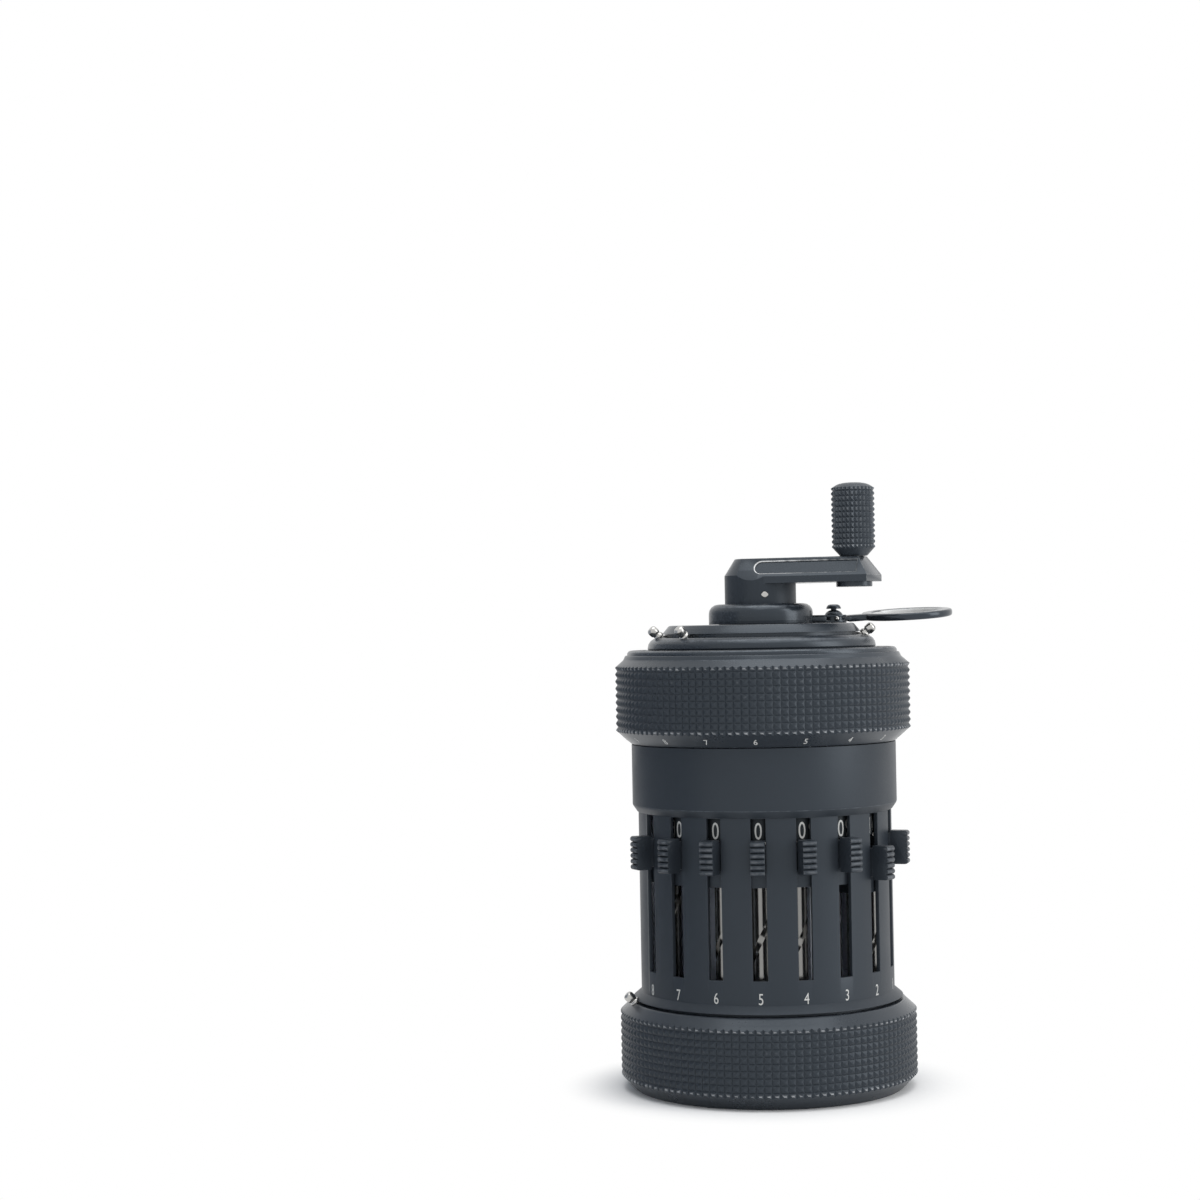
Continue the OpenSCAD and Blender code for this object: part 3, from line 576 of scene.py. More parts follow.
def soften(bm, edges, width, segments=2, clamp=True, worn_and_highlit=1):
    """Rounds edges a little and marks the middle of each rounding as worn. On the crank's panel rims, this
    mark is also a painted highlight.
    """
    wear_and_highlight = bm.verts.layers.float["wear_and_highlight"]
    made = bevel(bm, edges, width, segments, "EDGES", clamp)
    faces = set(made["faces"])
    for vert in made["verts"]:
        if all(face in faces for face in vert.link_faces):
            vert[wear_and_highlight] = worn_and_highlit


# %% Choosing and measuring
def sharp_edges(bm, degrees=35):
    return [edge for edge in bm.edges if edge.calc_face_angle(0) > math.radians(degrees)]


def open_edges(bm):
    return [edge for edge in bm.edges if edge.is_boundary]


def everything(bm):
    return bm.verts[:] + bm.edges[:] + bm.faces[:]


def only_verts(geom):
    return [item for item in geom if isinstance(item, bmesh.types.BMVert)]


def extent(node):
    low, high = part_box(node)
    return low / MM, high / MM


def turned_size(node):
    """Radius, foot and top of a node round the main axis."""
    low, high = extent(node)
    return high.x, low.z, high.z


# %% Finishing helper
SHARP = math.radians(38)


def finish_piece(name, bm, materials, node=None, body=None, sharp=SHARP):
    """Closes a mesh, makes it an object in metres, and lets it ride with the node that it stands for."""
    bmesh.ops.remove_doubles(bm, verts=bm.verts, dist=WELD)
    bmesh.ops.recalc_face_normals(bm, faces=bm.faces)
    for face in bm.faces:
        face.smooth = True
    for edge in bm.edges:
        edge.smooth = edge.calc_face_angle(0) < sharp
    left_open = sum(len(edge.link_faces) != 2 for edge in bm.edges)
    bmesh.ops.scale(bm, vec=(MM, MM, MM), verts=bm.verts)
    piece = mesh_object(name, bm, materials)
    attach(piece, body or frame["nodes"][node]["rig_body"])
    if node:
        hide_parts(node)
    print(name, len(piece.data.polygons), "faces, open edges", left_open)
    return piece


# %% [markdown]
# ## Knurled rings
# The base and the carriage carry a square knurl of small pyramids, 120 round and 10 high. The strip is a
# grid of cells, and each cell is inset and raised at once, which leaves a tiny flat on each point, as on
# a used knurl. The chamfers beside the strip were turned after the knurl and cut through its last points.
# So the strip is made half a cell too long, cut level, and the ends of its grooves are slid down the
# chamfer, which gives its saw-tooth edge.

# %% Knurl helper
KNURL_COLUMNS = 120
KNURL_ROWS = 10
KNURL_DEPTH = 0.36
KNURL_FLAT = 0.13
POINT_WEAR = 0.27


def knurl(bm, radius, ends, rows, columns, slopes, depth=KNURL_DEPTH, point_wear=POINT_WEAR):
    """Makes a knurled strip between two chamfers that climb by slope millimetres per millimetre."""
    wear_and_highlight = bm.verts.layers.float["wear_and_highlight"]
    low, high = ends
    pitch = (high - low) / (rows - 1)
    cell = FULL_TURN * radius / columns
    heights = [low + pitch * (row - 0.5) for row in range(rows + 1)]
    turn(bm, [(radius - depth, height) for height in heights], columns, closed=False)
    bmesh.ops.recalc_face_normals(bm, faces=bm.faces)
    points = bm.faces[:]
    inset = min(cell, pitch) * (1 - KNURL_FLAT) / 2
    bmesh.ops.inset_individual(bm, faces=points, thickness=inset, depth=depth, use_even_offset=True)
    for vert in {vert for face in points for vert in face.verts}:
        outermost = min(vert.co.z - low, high - vert.co.z) < pitch / 4
        vert[wear_and_highlight] = 1 if outermost else point_wear
    for height, side, slope in ((low, -1, slopes[0]), (high, 1, slopes[1])):
        cut = bmesh.ops.bisect_plane(
            bm, geom=everything(bm), plane_co=(0, 0, height), plane_no=(0, 0, side),
            clear_outer=True, dist=WELD,
        )
        for vert in set(only_verts(cut["geom_cut"])):
            vert.co.z += side * slope * max(0, radius - vert.co.xy.length)
            vert[wear_and_highlight] = 0
    return len(open_edges(bm)) // 2


# %% Joining a knurl to its ring
KNURL_REACH = 0.6
PLAIN_REACH = 0.01


def rim(bm, radius, height, reach):
    """Open edges of a loop near a radius and a height."""
    def near(vert):
        return abs(vert.co.z - height) < reach and abs(vert.co.xy.length - radius) < reach

    return [edge for edge in open_edges(bm) if all(near(vert) for vert in edge.verts)]


def join_rims(bm, knurled, plain):
    """Bridges an end of a knurled strip to the plain turned part beside it."""
    edges = {*rim(bm, *knurled, KNURL_REACH), *rim(bm, *plain, PLAIN_REACH)}
    bmesh.ops.bridge_loops(bm, edges=list(edges))


def knurled_ring(name, node, radius, ends, slopes, section):
    """Knurls a ring and closes it with a plain turned section that starts and ends on the chamfers."""
    bm = new_mesh()
    steps = knurl(bm, radius, ends, KNURL_ROWS, KNURL_COLUMNS, slopes)
    knurled = set(bm.faces)
    turn(bm, section, steps, closed=False)
    join_rims(bm, (radius, ends[0]), section[0])
    join_rims(bm, (radius, ends[1]), section[-1])
    for face in bm.faces:
        face.material_index = int(face not in knurled)
    return finish_piece(name, bm, [knurl_enamel, turned_enamel], node)


# %% Base ring
FOOT_CHAMFER = (2.5, 2.55)
SHOULDER = (2.1, 1.95)
FLOOR_R = extent("base_plate")[1].x
FLOOR_T = extent("base_plate")[1].z
FLOOR_GAP = 0.05
BASE_BORE = FLOOR_R - 1
BASE_LAND = 0.3


def base_ring():
    radius, top = extent("base_ring")[1].xz
    foot_r = radius - FOOT_CHAMFER[0]
    shoulder_r = radius - SHOULDER[0]
    slopes = (FOOT_CHAMFER[1] / FOOT_CHAMFER[0], SHOULDER[1] / SHOULDER[0])
    seat = FLOOR_R + FLOOR_GAP
    section = [
        (foot_r + BASE_LAND, BASE_LAND * slopes[0]), (foot_r, 0, 0.2), (seat, 0, 0.1), (seat, FLOOR_T),
        (BASE_BORE, FLOOR_T), (BASE_BORE, top), (shoulder_r, top, 0.2),
        (shoulder_r + BASE_LAND, top - BASE_LAND * slopes[1]),
    ]
    ends = (FOOT_CHAMFER[1], top - SHOULDER[1])
    return knurled_ring("base_knurl", "base_ring", radius, ends, slopes, section)


base_ring()

# %% Carriage ring
CARRIAGE_BEVEL = (2.73, 2.4)
CARRIAGE_CHAMFER = (1.5, 1.3)
CARRIAGE_RIM = (2.15, 0.8)
CARRIAGE_FLOOR = (extent("carriage_sleeve")[1].x + 5.2, 1.5)
CARRIAGE_LAND = 0.25


def carriage_ring():
    radius, foot, top = turned_size("carriage_ring")
    bevel_r = radius - CARRIAGE_BEVEL[0]
    bore = radius - CARRIAGE_RIM[0]
    edge_r, edge_z = radius - CARRIAGE_CHAMFER[0], top - CARRIAGE_RIM[1]
    slopes = (CARRIAGE_BEVEL[1] / CARRIAGE_BEVEL[0], CARRIAGE_CHAMFER[1] / CARRIAGE_CHAMFER[0])
    floor_r, floor_t = CARRIAGE_FLOOR
    section = [
        (bevel_r + CARRIAGE_LAND, foot + CARRIAGE_LAND * slopes[0]), (bevel_r, foot, 0.12), (floor_r, foot),
        (floor_r, foot + floor_t), (bore, foot + floor_t), (bore, top, 0.05), (bore + 0.3, top, 0.15),
        (edge_r, edge_z, 0.2), (edge_r + CARRIAGE_LAND, edge_z - CARRIAGE_LAND * slopes[1]),
    ]
    ends = (foot + CARRIAGE_BEVEL[1], edge_z - CARRIAGE_CHAMFER[1])
    return knurled_ring("carriage_knurl", "carriage_ring", radius, ends, slopes, section)


carriage_ring()

# %% [markdown]
# ## Collar, band and housing
# The collar and the band are plain turned rings. The housing is a thin tube with eight upright slots for
# the sliders and one short slot at the back. Cutting a curved wall with flat planes keeps the slot sides
# straight, so the outer wall is cut first, the faces inside each slot are deleted, and the wall gets its
# thickness last. It is enamelled outside and bare steel inside.

# %% Collar and band
TURN_STEPS = 240
HOUSING_R = extent("setting_housing")[1].x
HOUSING_WALL = 0.7
COLLAR_GROOVE = (1.3, 0.5)
BAND_GAP = 0.05
BAND_BEVEL = (0.15, 1.2)


def marker_collar():
    radius, foot, top = turned_size("marker_collar")
    bore = HOUSING_R - HOUSING_WALL
    groove_deep, groove_h = COLLAR_GROOVE
    bm = new_mesh()
    turn(bm, [
        (bore, foot), (radius - groove_deep, foot), (radius - groove_deep, foot + groove_h),
        (radius, foot + groove_h, 0.15), (HOUSING_R, top), (bore, top),
    ], TURN_STEPS)
    return finish_piece("collar", bm, [satin_enamel], "marker_collar")


def body_band():
    radius, foot, top = turned_size("body_band")
    bore = HOUSING_R + BAND_GAP
    lip, rise = BAND_BEVEL
    bm = new_mesh()
    turn(bm, [
        (bore, foot), (bore + lip, foot, 0.05), (radius, foot + rise, 0.25), (radius, top, 0.12), (bore, top),
    ], TURN_STEPS)
    return finish_piece("band", bm, [satin_enamel], "body_band")


marker_collar()
body_band()

# %% Places round the axis
PITCH_DEG = 20
SLIDERS = range(1, 9)
RESULT_COUNT = 11
COUNTER_COUNT = 6
DIALS = range(1, RESULT_COUNT + COUNTER_COUNT + 1)
BACK_DEG = 180
FIRST_SLIDER_DEG = 70
FIRST_DIAL_DEG = 90


def slider_deg(k):
    return FIRST_SLIDER_DEG - PITCH_DEG * (k - 1)


def dial_deg(n):
    return FIRST_DIAL_DEG - PITCH_DEG * (n - 1)


def around(degrees):
    """Turns what was drawn facing the reader, at -Y, to its angle round the main axis."""
    return Matrix.Rotation(math.radians(degrees), 4, "Z")


# %% Cutting slots
def sector(bm, degrees, spread):
    """Faces of the wall within an angle of a place round the axis."""
    ahead = around(degrees) @ Vector((0, -1, 0))
    limit = math.cos(math.radians(spread))
    return [face for face in bm.faces if face.calc_center_median().xy.normalized().dot(ahead.xy) > limit]


def cut_slot(bm, degrees, width, low, high):
    side = around(degrees) @ Vector((1, 0, 0))
    half = side * width / 2
    cuts = [(half, side), (-half, side), (Vector((0, 0, low)), AXIS), (Vector((0, 0, high)), AXIS)]
    for place, normal in cuts:
        faces = sector(bm, degrees, PITCH_DEG / 2)
        edges = {edge for face in faces for edge in face.edges}
        verts = {vert for face in faces for vert in face.verts}
        bmesh.ops.bisect_plane(bm, geom=[*verts, *edges, *faces], plane_co=place, plane_no=normal, dist=WELD)
    inside = []
    for face in sector(bm, degrees, PITCH_DEG / 2):
        middle = face.calc_center_median()
        if abs(middle.dot(side)) < width / 2 and low < middle.z < high:
            inside.append(face)
    bmesh.ops.delete(bm, geom=inside, context="FACES")


# %% Setting housing
SLOT_W = 2.6
SLOT_LOW = 21.6
SLOT_HIGH = 49.3
BACK_SLOT = (3.0, 30.4, 38.4)
SLOT_SOFT = 0.1
RIM_DEG = 60
INNER_SHARE = 0.95


def setting_housing():
    radius, foot, top = turned_size("setting_housing")
    bm = new_mesh()
    turn(bm, [(radius, foot), (radius, top)], TURN_STEPS, closed=False)
    bmesh.ops.recalc_face_normals(bm, faces=bm.faces)
    for k in SLIDERS:
        cut_slot(bm, slider_deg(k), SLOT_W, SLOT_LOW, SLOT_HIGH)
    cut_slot(bm, BACK_DEG, *BACK_SLOT)
    bmesh.ops.solidify(bm, geom=bm.faces[:], thickness=HOUSING_WALL)
    outer = radius - HOUSING_WALL / 2
    rims = [edge for edge in sharp_edges(bm, RIM_DEG) if all(v.co.xy.length > outer for v in edge.verts)]
    low, high = SLOT_LOW - SLOT_SOFT, SLOT_HIGH + SLOT_SOFT
    soften(bm, [edge for edge in rims if low < edge.verts[0].co.z < high], SLOT_SOFT)
    inner = radius - HOUSING_WALL * INNER_SHARE
    for face in bm.faces:
        face.material_index = int(face.calc_center_median().xy.length < inner)
    return finish_piece("housing", bm, [satin_enamel, inner_steel], "setting_housing")


setting_housing()

# %% [markdown]
# ## Figures
# White figures number the slots and the carriage, and digits run round every drum and dial. Each digit is
# text made into a thin solid, cut into narrow strips so that it can bend, and wrapped onto its surface.
# They are plain numbers, painted into shallow engraving on the real object.

# %% Digit meshes
FIGURE_DEPTH = 0.04
FIGURE_STRIPS = 9
FIGURE_GAP = 0.72
TEXT_DEPTH = 0.02
TEXT_WEIGHT = -0.002
TEXT_CURVE = 4
TEXT_WELD = 1e-5


def digit_mesh(text):
    """A flat figure one unit high, centred, cut into upright strips."""
    curve = bpy.data.curves.new("figure_" + text, "FONT")
    curve.body = text
    curve.extrude = TEXT_DEPTH
    curve.offset = TEXT_WEIGHT
    curve.resolution_u = TEXT_CURVE
    holder = bpy.data.objects.new("figure_" + text, curve)
    scene.collection.objects.link(holder)
    bpy.context.view_layer.update()
    mesh = bpy.data.meshes.new_from_object(holder)
    bpy.data.objects.remove(holder)
    bpy.data.curves.remove(curve)
    bm = bmesh.new()
    bm.from_mesh(mesh)
    low = Vector([min(vert.co[i] for vert in bm.verts) for i in range(3)])
    high = Vector([max(vert.co[i] for vert in bm.verts) for i in range(3)])
    bmesh.ops.remove_doubles(bm, verts=bm.verts, dist=TEXT_WELD)
    bmesh.ops.translate(bm, vec=-(low + high) / 2, verts=bm.verts)
    scale = 1 / (high.y - low.y)
    bmesh.ops.scale(bm, vec=(scale, scale, 1 / (high.z - low.z)), verts=bm.verts)
    width = (high.x - low.x) * scale
    for strip in range(1, FIGURE_STRIPS):
        place = (width * (strip / FIGURE_STRIPS - 0.5), 0, 0)
        bmesh.ops.bisect_plane(bm, geom=everything(bm), plane_co=place, plane_no=(1, 0, 0))
    bm.to_mesh(mesh)
    bm.free()
    return mesh


DIGITS = {str(digit): digit_mesh(str(digit)) for digit in range(10)}
print("digits", {text: len(mesh.polygons) for text, mesh in DIGITS.items()})


# %% Wrapping figures
def lay_figure(bm, text, height, narrow, material_index, place):
    """Adds a figure to a mesh. place maps (along, up, out), in millimetres, to the surface."""
    gap = FIGURE_GAP * height * narrow
    for index, letter in enumerate(text):
        along = (index - (len(text) - 1) / 2) * gap
        first_vert, first_face = len(bm.verts), len(bm.faces)
        bm.from_mesh(DIGITS[letter])
        bm.verts.ensure_lookup_table()
        bm.faces.ensure_lookup_table()
        for vert in bm.verts[first_vert:]:
            x, y, z = vert.co
            vert.co = place(along + x * height * narrow, y * height, z * FIGURE_DEPTH)
        for face in bm.faces[first_face:]:
            face.material_index = material_index


def on_turned(radius, degrees, height, slope=0):
    """Wraps onto a cylinder, or onto a cone that widens upwards by slope millimetres per millimetre."""
    lean = math.atan(slope)

    def place(along, up, out):
        turned = around(degrees + math.degrees(along / radius))
        rise = up * math.cos(lean) - out * math.sin(lean)
        reach = radius + up * math.sin(lean) + out * math.cos(lean)
        return turned @ Vector((0, -reach, height + rise))

    return place


# %% Slot and carriage numbers
SLOT_NUMBER = (1.9, 0.72, 18.55)
BEVEL_NUMBER = (1.35, 0.8, 62.5)


def numbers(name, body, figure, radius, places, slope=0):
    """White numbers on a turned surface, each at its angle."""
    height, narrow, z = figure
    bm = new_mesh()
    for number, degrees in places:
        lay_figure(bm, str(number), height, narrow, 0, on_turned(radius, degrees, z, slope))
    return finish_piece(name, bm, [figure_white], body=body)


numbers("slot_numbers", "housing", SLOT_NUMBER, HOUSING_R, [(k, slider_deg(k)) for k in SLIDERS])
outer, foot = turned_size("carriage_ring")[:2]
slope = CARRIAGE_BEVEL[0] / CARRIAGE_BEVEL[1]
bevel_r = outer - CARRIAGE_BEVEL[0] + slope * (BEVEL_NUMBER[2] - foot)
dial_places = [((n - 1) % RESULT_COUNT + 1, dial_deg(n)) for n in DIALS]
numbers("carriage_numbers", "carriage", BEVEL_NUMBER, bevel_r, dial_places, slope)

# %% [markdown]
# ## Spindles
# Behind each slot stands a steel spindle with a helical groove. The slider's pin runs in the groove, so
# the spindle turns one tenth of a turn for each digit and brings that digit of its drum into the top of
# the slot. The grooved stretch is the notched cross section swept by a spin that also climbs.

# %% Grooved rod
SPINDLE_BOX = extent("spindle_5")
SPINDLE_CIRCLE = ((SPINDLE_BOX[0] + SPINDLE_BOX[1]) / 2).xy.length
SPINDLE_R = 1.6
SPINDLE_LOW = 18.05
GROOVE_LOW = 19.6
GROOVE_HIGH = 39.0
GROOVE_FACING = 38.3
GROOVE_W = 1.1
GROOVE_DEEP = 0.5
HELIX_DEG = 18
SPINDLE_SIDES = 40
SPINDLE_RINGS = 96


def grooved_outline(bm):
    """Cross section of the spindle with its notch at +Y."""
    edge = math.asin(GROOVE_W / 2 / SPINDLE_R)
    angles = [edge + (FULL_TURN - 2 * edge) * i / SPINDLE_SIDES for i in range(SPINDLE_SIDES + 1)]
    points = [(math.sin(a) * SPINDLE_R, math.cos(a) * SPINDLE_R) for a in angles]
    floor = SPINDLE_R - GROOVE_DEEP
    points += [(-GROOVE_W / 2, floor), (0, floor), (GROOVE_W / 2, floor)]
    verts = [bm.verts.new((x, y, 0)) for x, y in points]
    return verts, [bm.edges.new(pair) for pair in zip(verts, verts[1:] + verts[:1])]


def grooved_rod():
    bm = new_mesh()
    verts, edges = grooved_outline(bm)
    climb = GROOVE_HIGH - GROOVE_LOW
    bmesh.ops.spin(
        bm, geom=verts + edges, cent=CENTRE, axis=AXIS, angle=math.radians(HELIX_DEG * climb),
        dvec=(0, 0, climb / SPINDLE_RINGS), steps=SPINDLE_RINGS,
    )
    bmesh.ops.holes_fill(bm, edges=open_edges(bm))
    move(bm, Matrix.Translation((0, 0, GROOVE_LOW)) @ around(-HELIX_DEG * (GROOVE_FACING - GROOVE_LOW)))
    return bm


# %% Drums and spindles
DRUM_R = (SPINDLE_BOX[1].x - SPINDLE_BOX[0].x) / 2
DRUM_LOW = 45.4
DRUM_HIGH = 49.4
DRUM_SOFT = 0.2
DRUM_FIGURE = (2.9, 0.68, 47.15)
DRUM_PROUD = 0.1
DIGIT_DEG = 36
SET_DIGIT = {2: 1}
SPINDLE_END = 1


def add_mesh(bm, part):
    """Copies one mesh under construction into another."""
    mesh = bpy.data.meshes.new("part")
    part.to_mesh(mesh)
    part.free()
    bm.from_mesh(mesh)
    bpy.data.meshes.remove(mesh)


def add_turned(bm, points, steps, place=Matrix(), closed=False):
    """Turns a section on its own, moves it and adds it to a mesh."""
    part = new_mesh()
    turn(part, points, steps, closed)
    bmesh.ops.recalc_face_normals(part, faces=part.faces)
    move(part, place)
    add_mesh(bm, part)


def add_rod(bm, radius, low, high, material_index=0, soft=0.1):
    before = len(bm.faces)
    add_turned(bm, [(0, low), (radius, low, soft), (radius, high, soft), (0, high)], SPINDLE_SIDES)
    bm.faces.ensure_lookup_table()
    for face in bm.faces[before:]:
        face.material_index = material_index


def drum_digits(bm, digit_now):
    height, narrow, z = DRUM_FIGURE
    for digit in range(10):
        facing = DIGIT_DEG * (digit_now - digit)
        lay_figure(bm, str(digit), height, narrow, 2, on_turned(DRUM_R + DRUM_PROUD, facing, z))


def spindle(k):
    digit_now = SET_DIGIT.get(k, 0)
    bm = grooved_rod()
    add_rod(bm, SPINDLE_R, SPINDLE_LOW, GROOVE_LOW)
    add_rod(bm, SPINDLE_R, GROOVE_HIGH, DRUM_LOW)
    move(bm, around(DIGIT_DEG * digit_now))
    add_rod(bm, DRUM_R + DRUM_PROUD, DRUM_LOW, DRUM_HIGH, 1, DRUM_SOFT)
    add_rod(bm, SPINDLE_R, DRUM_HIGH, extent(f"spindle_{k}")[1].z - SPINDLE_END)
    drum_digits(bm, digit_now)
    move(bm, around(slider_deg(k)) @ Matrix.Translation((0, -SPINDLE_CIRCLE, 0)))
    finishes = [ground_steel, dial_black, figure_white]
    return finish_piece(f"setting_spindle_{k}", bm, finishes, f"spindle_{k}")


for k in SLIDERS:
    spindle(k)

# %% [markdown]
# ## Sliders
# A slider has a thumb piece with six round ribs outside, a stem in the slot, and inside a block round the
# spindle with a fork that shifts a small gear. The thumb piece is its side outline pulled across its
# width.

# %% Thumb piece and blocks
THUMB_W = 2.4
THUMB_H = 5.9
THUMB_LOW = 39.78
THUMB_OUT = 26.0
THUMB_GAP = 0.3
THUMB_SOFT = 0.12
RIBS = 6
RIB_STEPS = 6
RIB_FULL = 0.98
RIB_WEAR_AND_HIGHLIGHT = 0.6
SAME = 0.01


def pull(bm, faces, reach):
    """Extrudes faces by a vector and leaves a closed solid."""
    pulled = bmesh.ops.extrude_face_region(bm, geom=faces)
    bmesh.ops.translate(bm, vec=reach, verts=only_verts(pulled["geom"]))
    bmesh.ops.recalc_face_normals(bm, faces=bm.faces)


def thumb_piece(bm):
    rib = THUMB_H / RIBS / 2
    points = [(HOUSING_R + THUMB_GAP, THUMB_LOW, 0)]
    for index in range(RIBS):
        middle = THUMB_LOW + rib * (2 * index + 1)
        for step in range(RIB_STEPS + 1):
            turned = math.pi * (step / RIB_STEPS - 0.5)
            out = THUMB_OUT - rib + math.cos(turned) * rib
            up = middle + math.sin(turned) * rib * RIB_FULL
            # Rib crests are marked for a painted highlight, partly rubbed enamel, that is strongest at the
            # top of each rib.
            points.append((out, up, RIB_WEAR_AND_HIGHLIGHT * math.cos(turned) ** 4))
    points.append((HOUSING_R + THUMB_GAP, THUMB_LOW + THUMB_H, 0))
    part = new_mesh()
    wear_and_highlight = part.verts.layers.float["wear_and_highlight"]
    face = part.faces.new([part.verts.new((-THUMB_W / 2, -point[0], point[1])) for point in points])
    for vert, point in zip(face.verts, points):
        vert[wear_and_highlight] = point[2]
    pull(part, [face], (THUMB_W, 0, 0))
    sides = [edge for edge in part.edges if abs(edge.verts[0].co.x - edge.verts[1].co.x) < SAME]
    soften(part, sides, THUMB_SOFT)
    add_mesh(bm, part)


def add_block(bm, low, high, round_edge=0.08):
    """A block between two corners with softened edges."""
    low, high = Vector(low), Vector(high)
    part = new_mesh()
    bmesh.ops.create_cube(part, size=1)
    bmesh.ops.scale(part, vec=high - low, verts=part.verts)
    move(part, Matrix.Translation((low + high) / 2))
    soften(part, part.edges[:], round_edge)
    add_mesh(bm, part)


# %% Bored block
BLOCK_HALF = DRUM_R - 0.6
BLOCK_IN = SPINDLE_CIRCLE - 2.4
BLOCK_OUT = HOUSING_R - HOUSING_WALL - 0.3
BLOCK_LOW = 37.4
BLOCK_HIGH = 44.8
BLOCK_CUTS = 5
BORE_R = 1.8
BORE_SIDES = 24


def bored_block(bm):
    """Block with an upright bore for the spindle: a square loop bridged to a round one, then pulled up."""
    part = new_mesh()
    bmesh.ops.create_circle(part, segments=4, radius=1)
    move(part, Matrix.Rotation(math.pi / 4, 4, "Z"))
    size = (math.sqrt(2) * BLOCK_HALF, (BLOCK_OUT - BLOCK_IN) / math.sqrt(2), 1)
    bmesh.ops.scale(part, vec=size, verts=part.verts)
    move(part, Matrix.Translation((0, -(BLOCK_OUT + BLOCK_IN) / 2, BLOCK_LOW)))
    bmesh.ops.subdivide_edges(part, edges=part.edges[:], cuts=BLOCK_CUTS)
    hole = bmesh.ops.create_circle(part, segments=BORE_SIDES, radius=BORE_R)["verts"]
    bmesh.ops.translate(part, vec=(0, -SPINDLE_CIRCLE, BLOCK_LOW), verts=hole)
    bmesh.ops.bridge_loops(part, edges=part.edges[:])
    pull(part, part.faces[:], (0, 0, BLOCK_HIGH - BLOCK_LOW))
    add_mesh(bm, part)


# %% Gears
GEAR_LOW = 41.0
GEAR_T = 0.8
GEAR_CIRCLE = SPINDLE_CIRCLE - 5.7
GEAR_R = GEAR_CIRCLE * math.sin(math.radians(PITCH_DEG / 2)) - 0.13
GEAR_TEETH = 10
GEAR_CORE = 0.7
GEAR_TOOTH = 0.3
GEAR_TAPER = 0.05
UPRIGHT = 0.5


def add_gear(bm, radius, thick, place):
    """A disc whose every other side face is pulled out to a tooth."""
    core = radius * GEAR_CORE
    part = new_mesh()
    bmesh.ops.create_cone(
        part, cap_ends=True, segments=2 * GEAR_TEETH, radius1=core, radius2=core, depth=thick,
    )
    move(part, Matrix.Translation(place))
    sides = [face for face in part.faces if abs(face.normal.z) < UPRIGHT]
    sides.sort(key=lambda face: math.atan2(face.normal.y, face.normal.x))
    tooth = radius * GEAR_TOOTH
    bmesh.ops.inset_individual(part, faces=sides[::2], thickness=GEAR_TAPER, depth=tooth)
    add_mesh(bm, part)


# %% Whole sliders
FORK_HALF = 1.6
FORK_T = 0.6
FORK_LAP = 0.1
FORK_CLEAR = 1.4
GEAR_GAP = 0.1
STEM_GAP = 0.2
STEM_OUT = 0.8
STEM_INSET = 0.5


def slider(k):
    bm = new_mesh()
    thumb_piece(bm)
    half = SLOT_W / 2 - STEM_GAP
    low, high = THUMB_LOW + STEM_INSET, THUMB_LOW + THUMB_H - STEM_INSET
    add_block(bm, (-half, -HOUSING_R - STEM_OUT, low), (half, -BLOCK_OUT + STEM_INSET, high))
    bored_block(bm)
    for low in (GEAR_LOW - GEAR_GAP - FORK_T, GEAR_LOW + GEAR_T + GEAR_GAP):
        inner = -GEAR_CIRCLE - FORK_CLEAR
        add_block(bm, (-FORK_HALF, -BLOCK_IN - FORK_LAP, low), (FORK_HALF, inner, low + FORK_T))
    add_gear(bm, GEAR_R, GEAR_T, (0, -GEAR_CIRCLE, GEAR_LOW + GEAR_T / 2))
    drop = extent("slider_1")[0].z - extent(f"slider_{k}")[0].z
    move(bm, around(slider_deg(k)) @ Matrix.Translation((0, 0, -drop)))
    return finish_piece(f"setting_slider_{k}", bm, [thumb_enamel], f"slider_{k}")


for k in SLIDERS:
    slider(k)

# %% [markdown]
# ## Carriage cover and number dials
# The cover closes the carriage. Its flat outer ring has a window over each dial, and a rounded shoulder
# and a bevel with a groove between them climb to the flat dome. The windows are cells of the spun mesh:
# the cells above and below are deleted and the two holes are bridged, which gives each window its walls.

# %% Cover
COVER_STEPS = 144
WINDOW_IN = 20.85
WINDOW_OUT = 23.4
WINDOW_HALF_DEG = 5
WINDOW_RING = (20.3, 24.2, 78.2)
WINDOW_EDGE = 0.7
COVER_UNDER = 76.65
LEDGE_Z = 80.4
SHOULDER_R = 20.46
SHOULDER_Z = 78.55
GROOVE_R = 17.35
GROOVE_TOP = 81.0
DOME_FOOT_R = 17.85
DOME_R = 16.55
COVER_HOLE = 7.6
COVER_T = 1.2
CAVITY_R = 15.65
LEVEL = 0.8


def window_faces(bm, degrees):
    return [
        face for face in sector(bm, degrees, WINDOW_HALF_DEG)
        if WINDOW_IN < face.calc_center_median().xy.length < WINDOW_OUT and abs(face.normal.z) > LEVEL
    ]


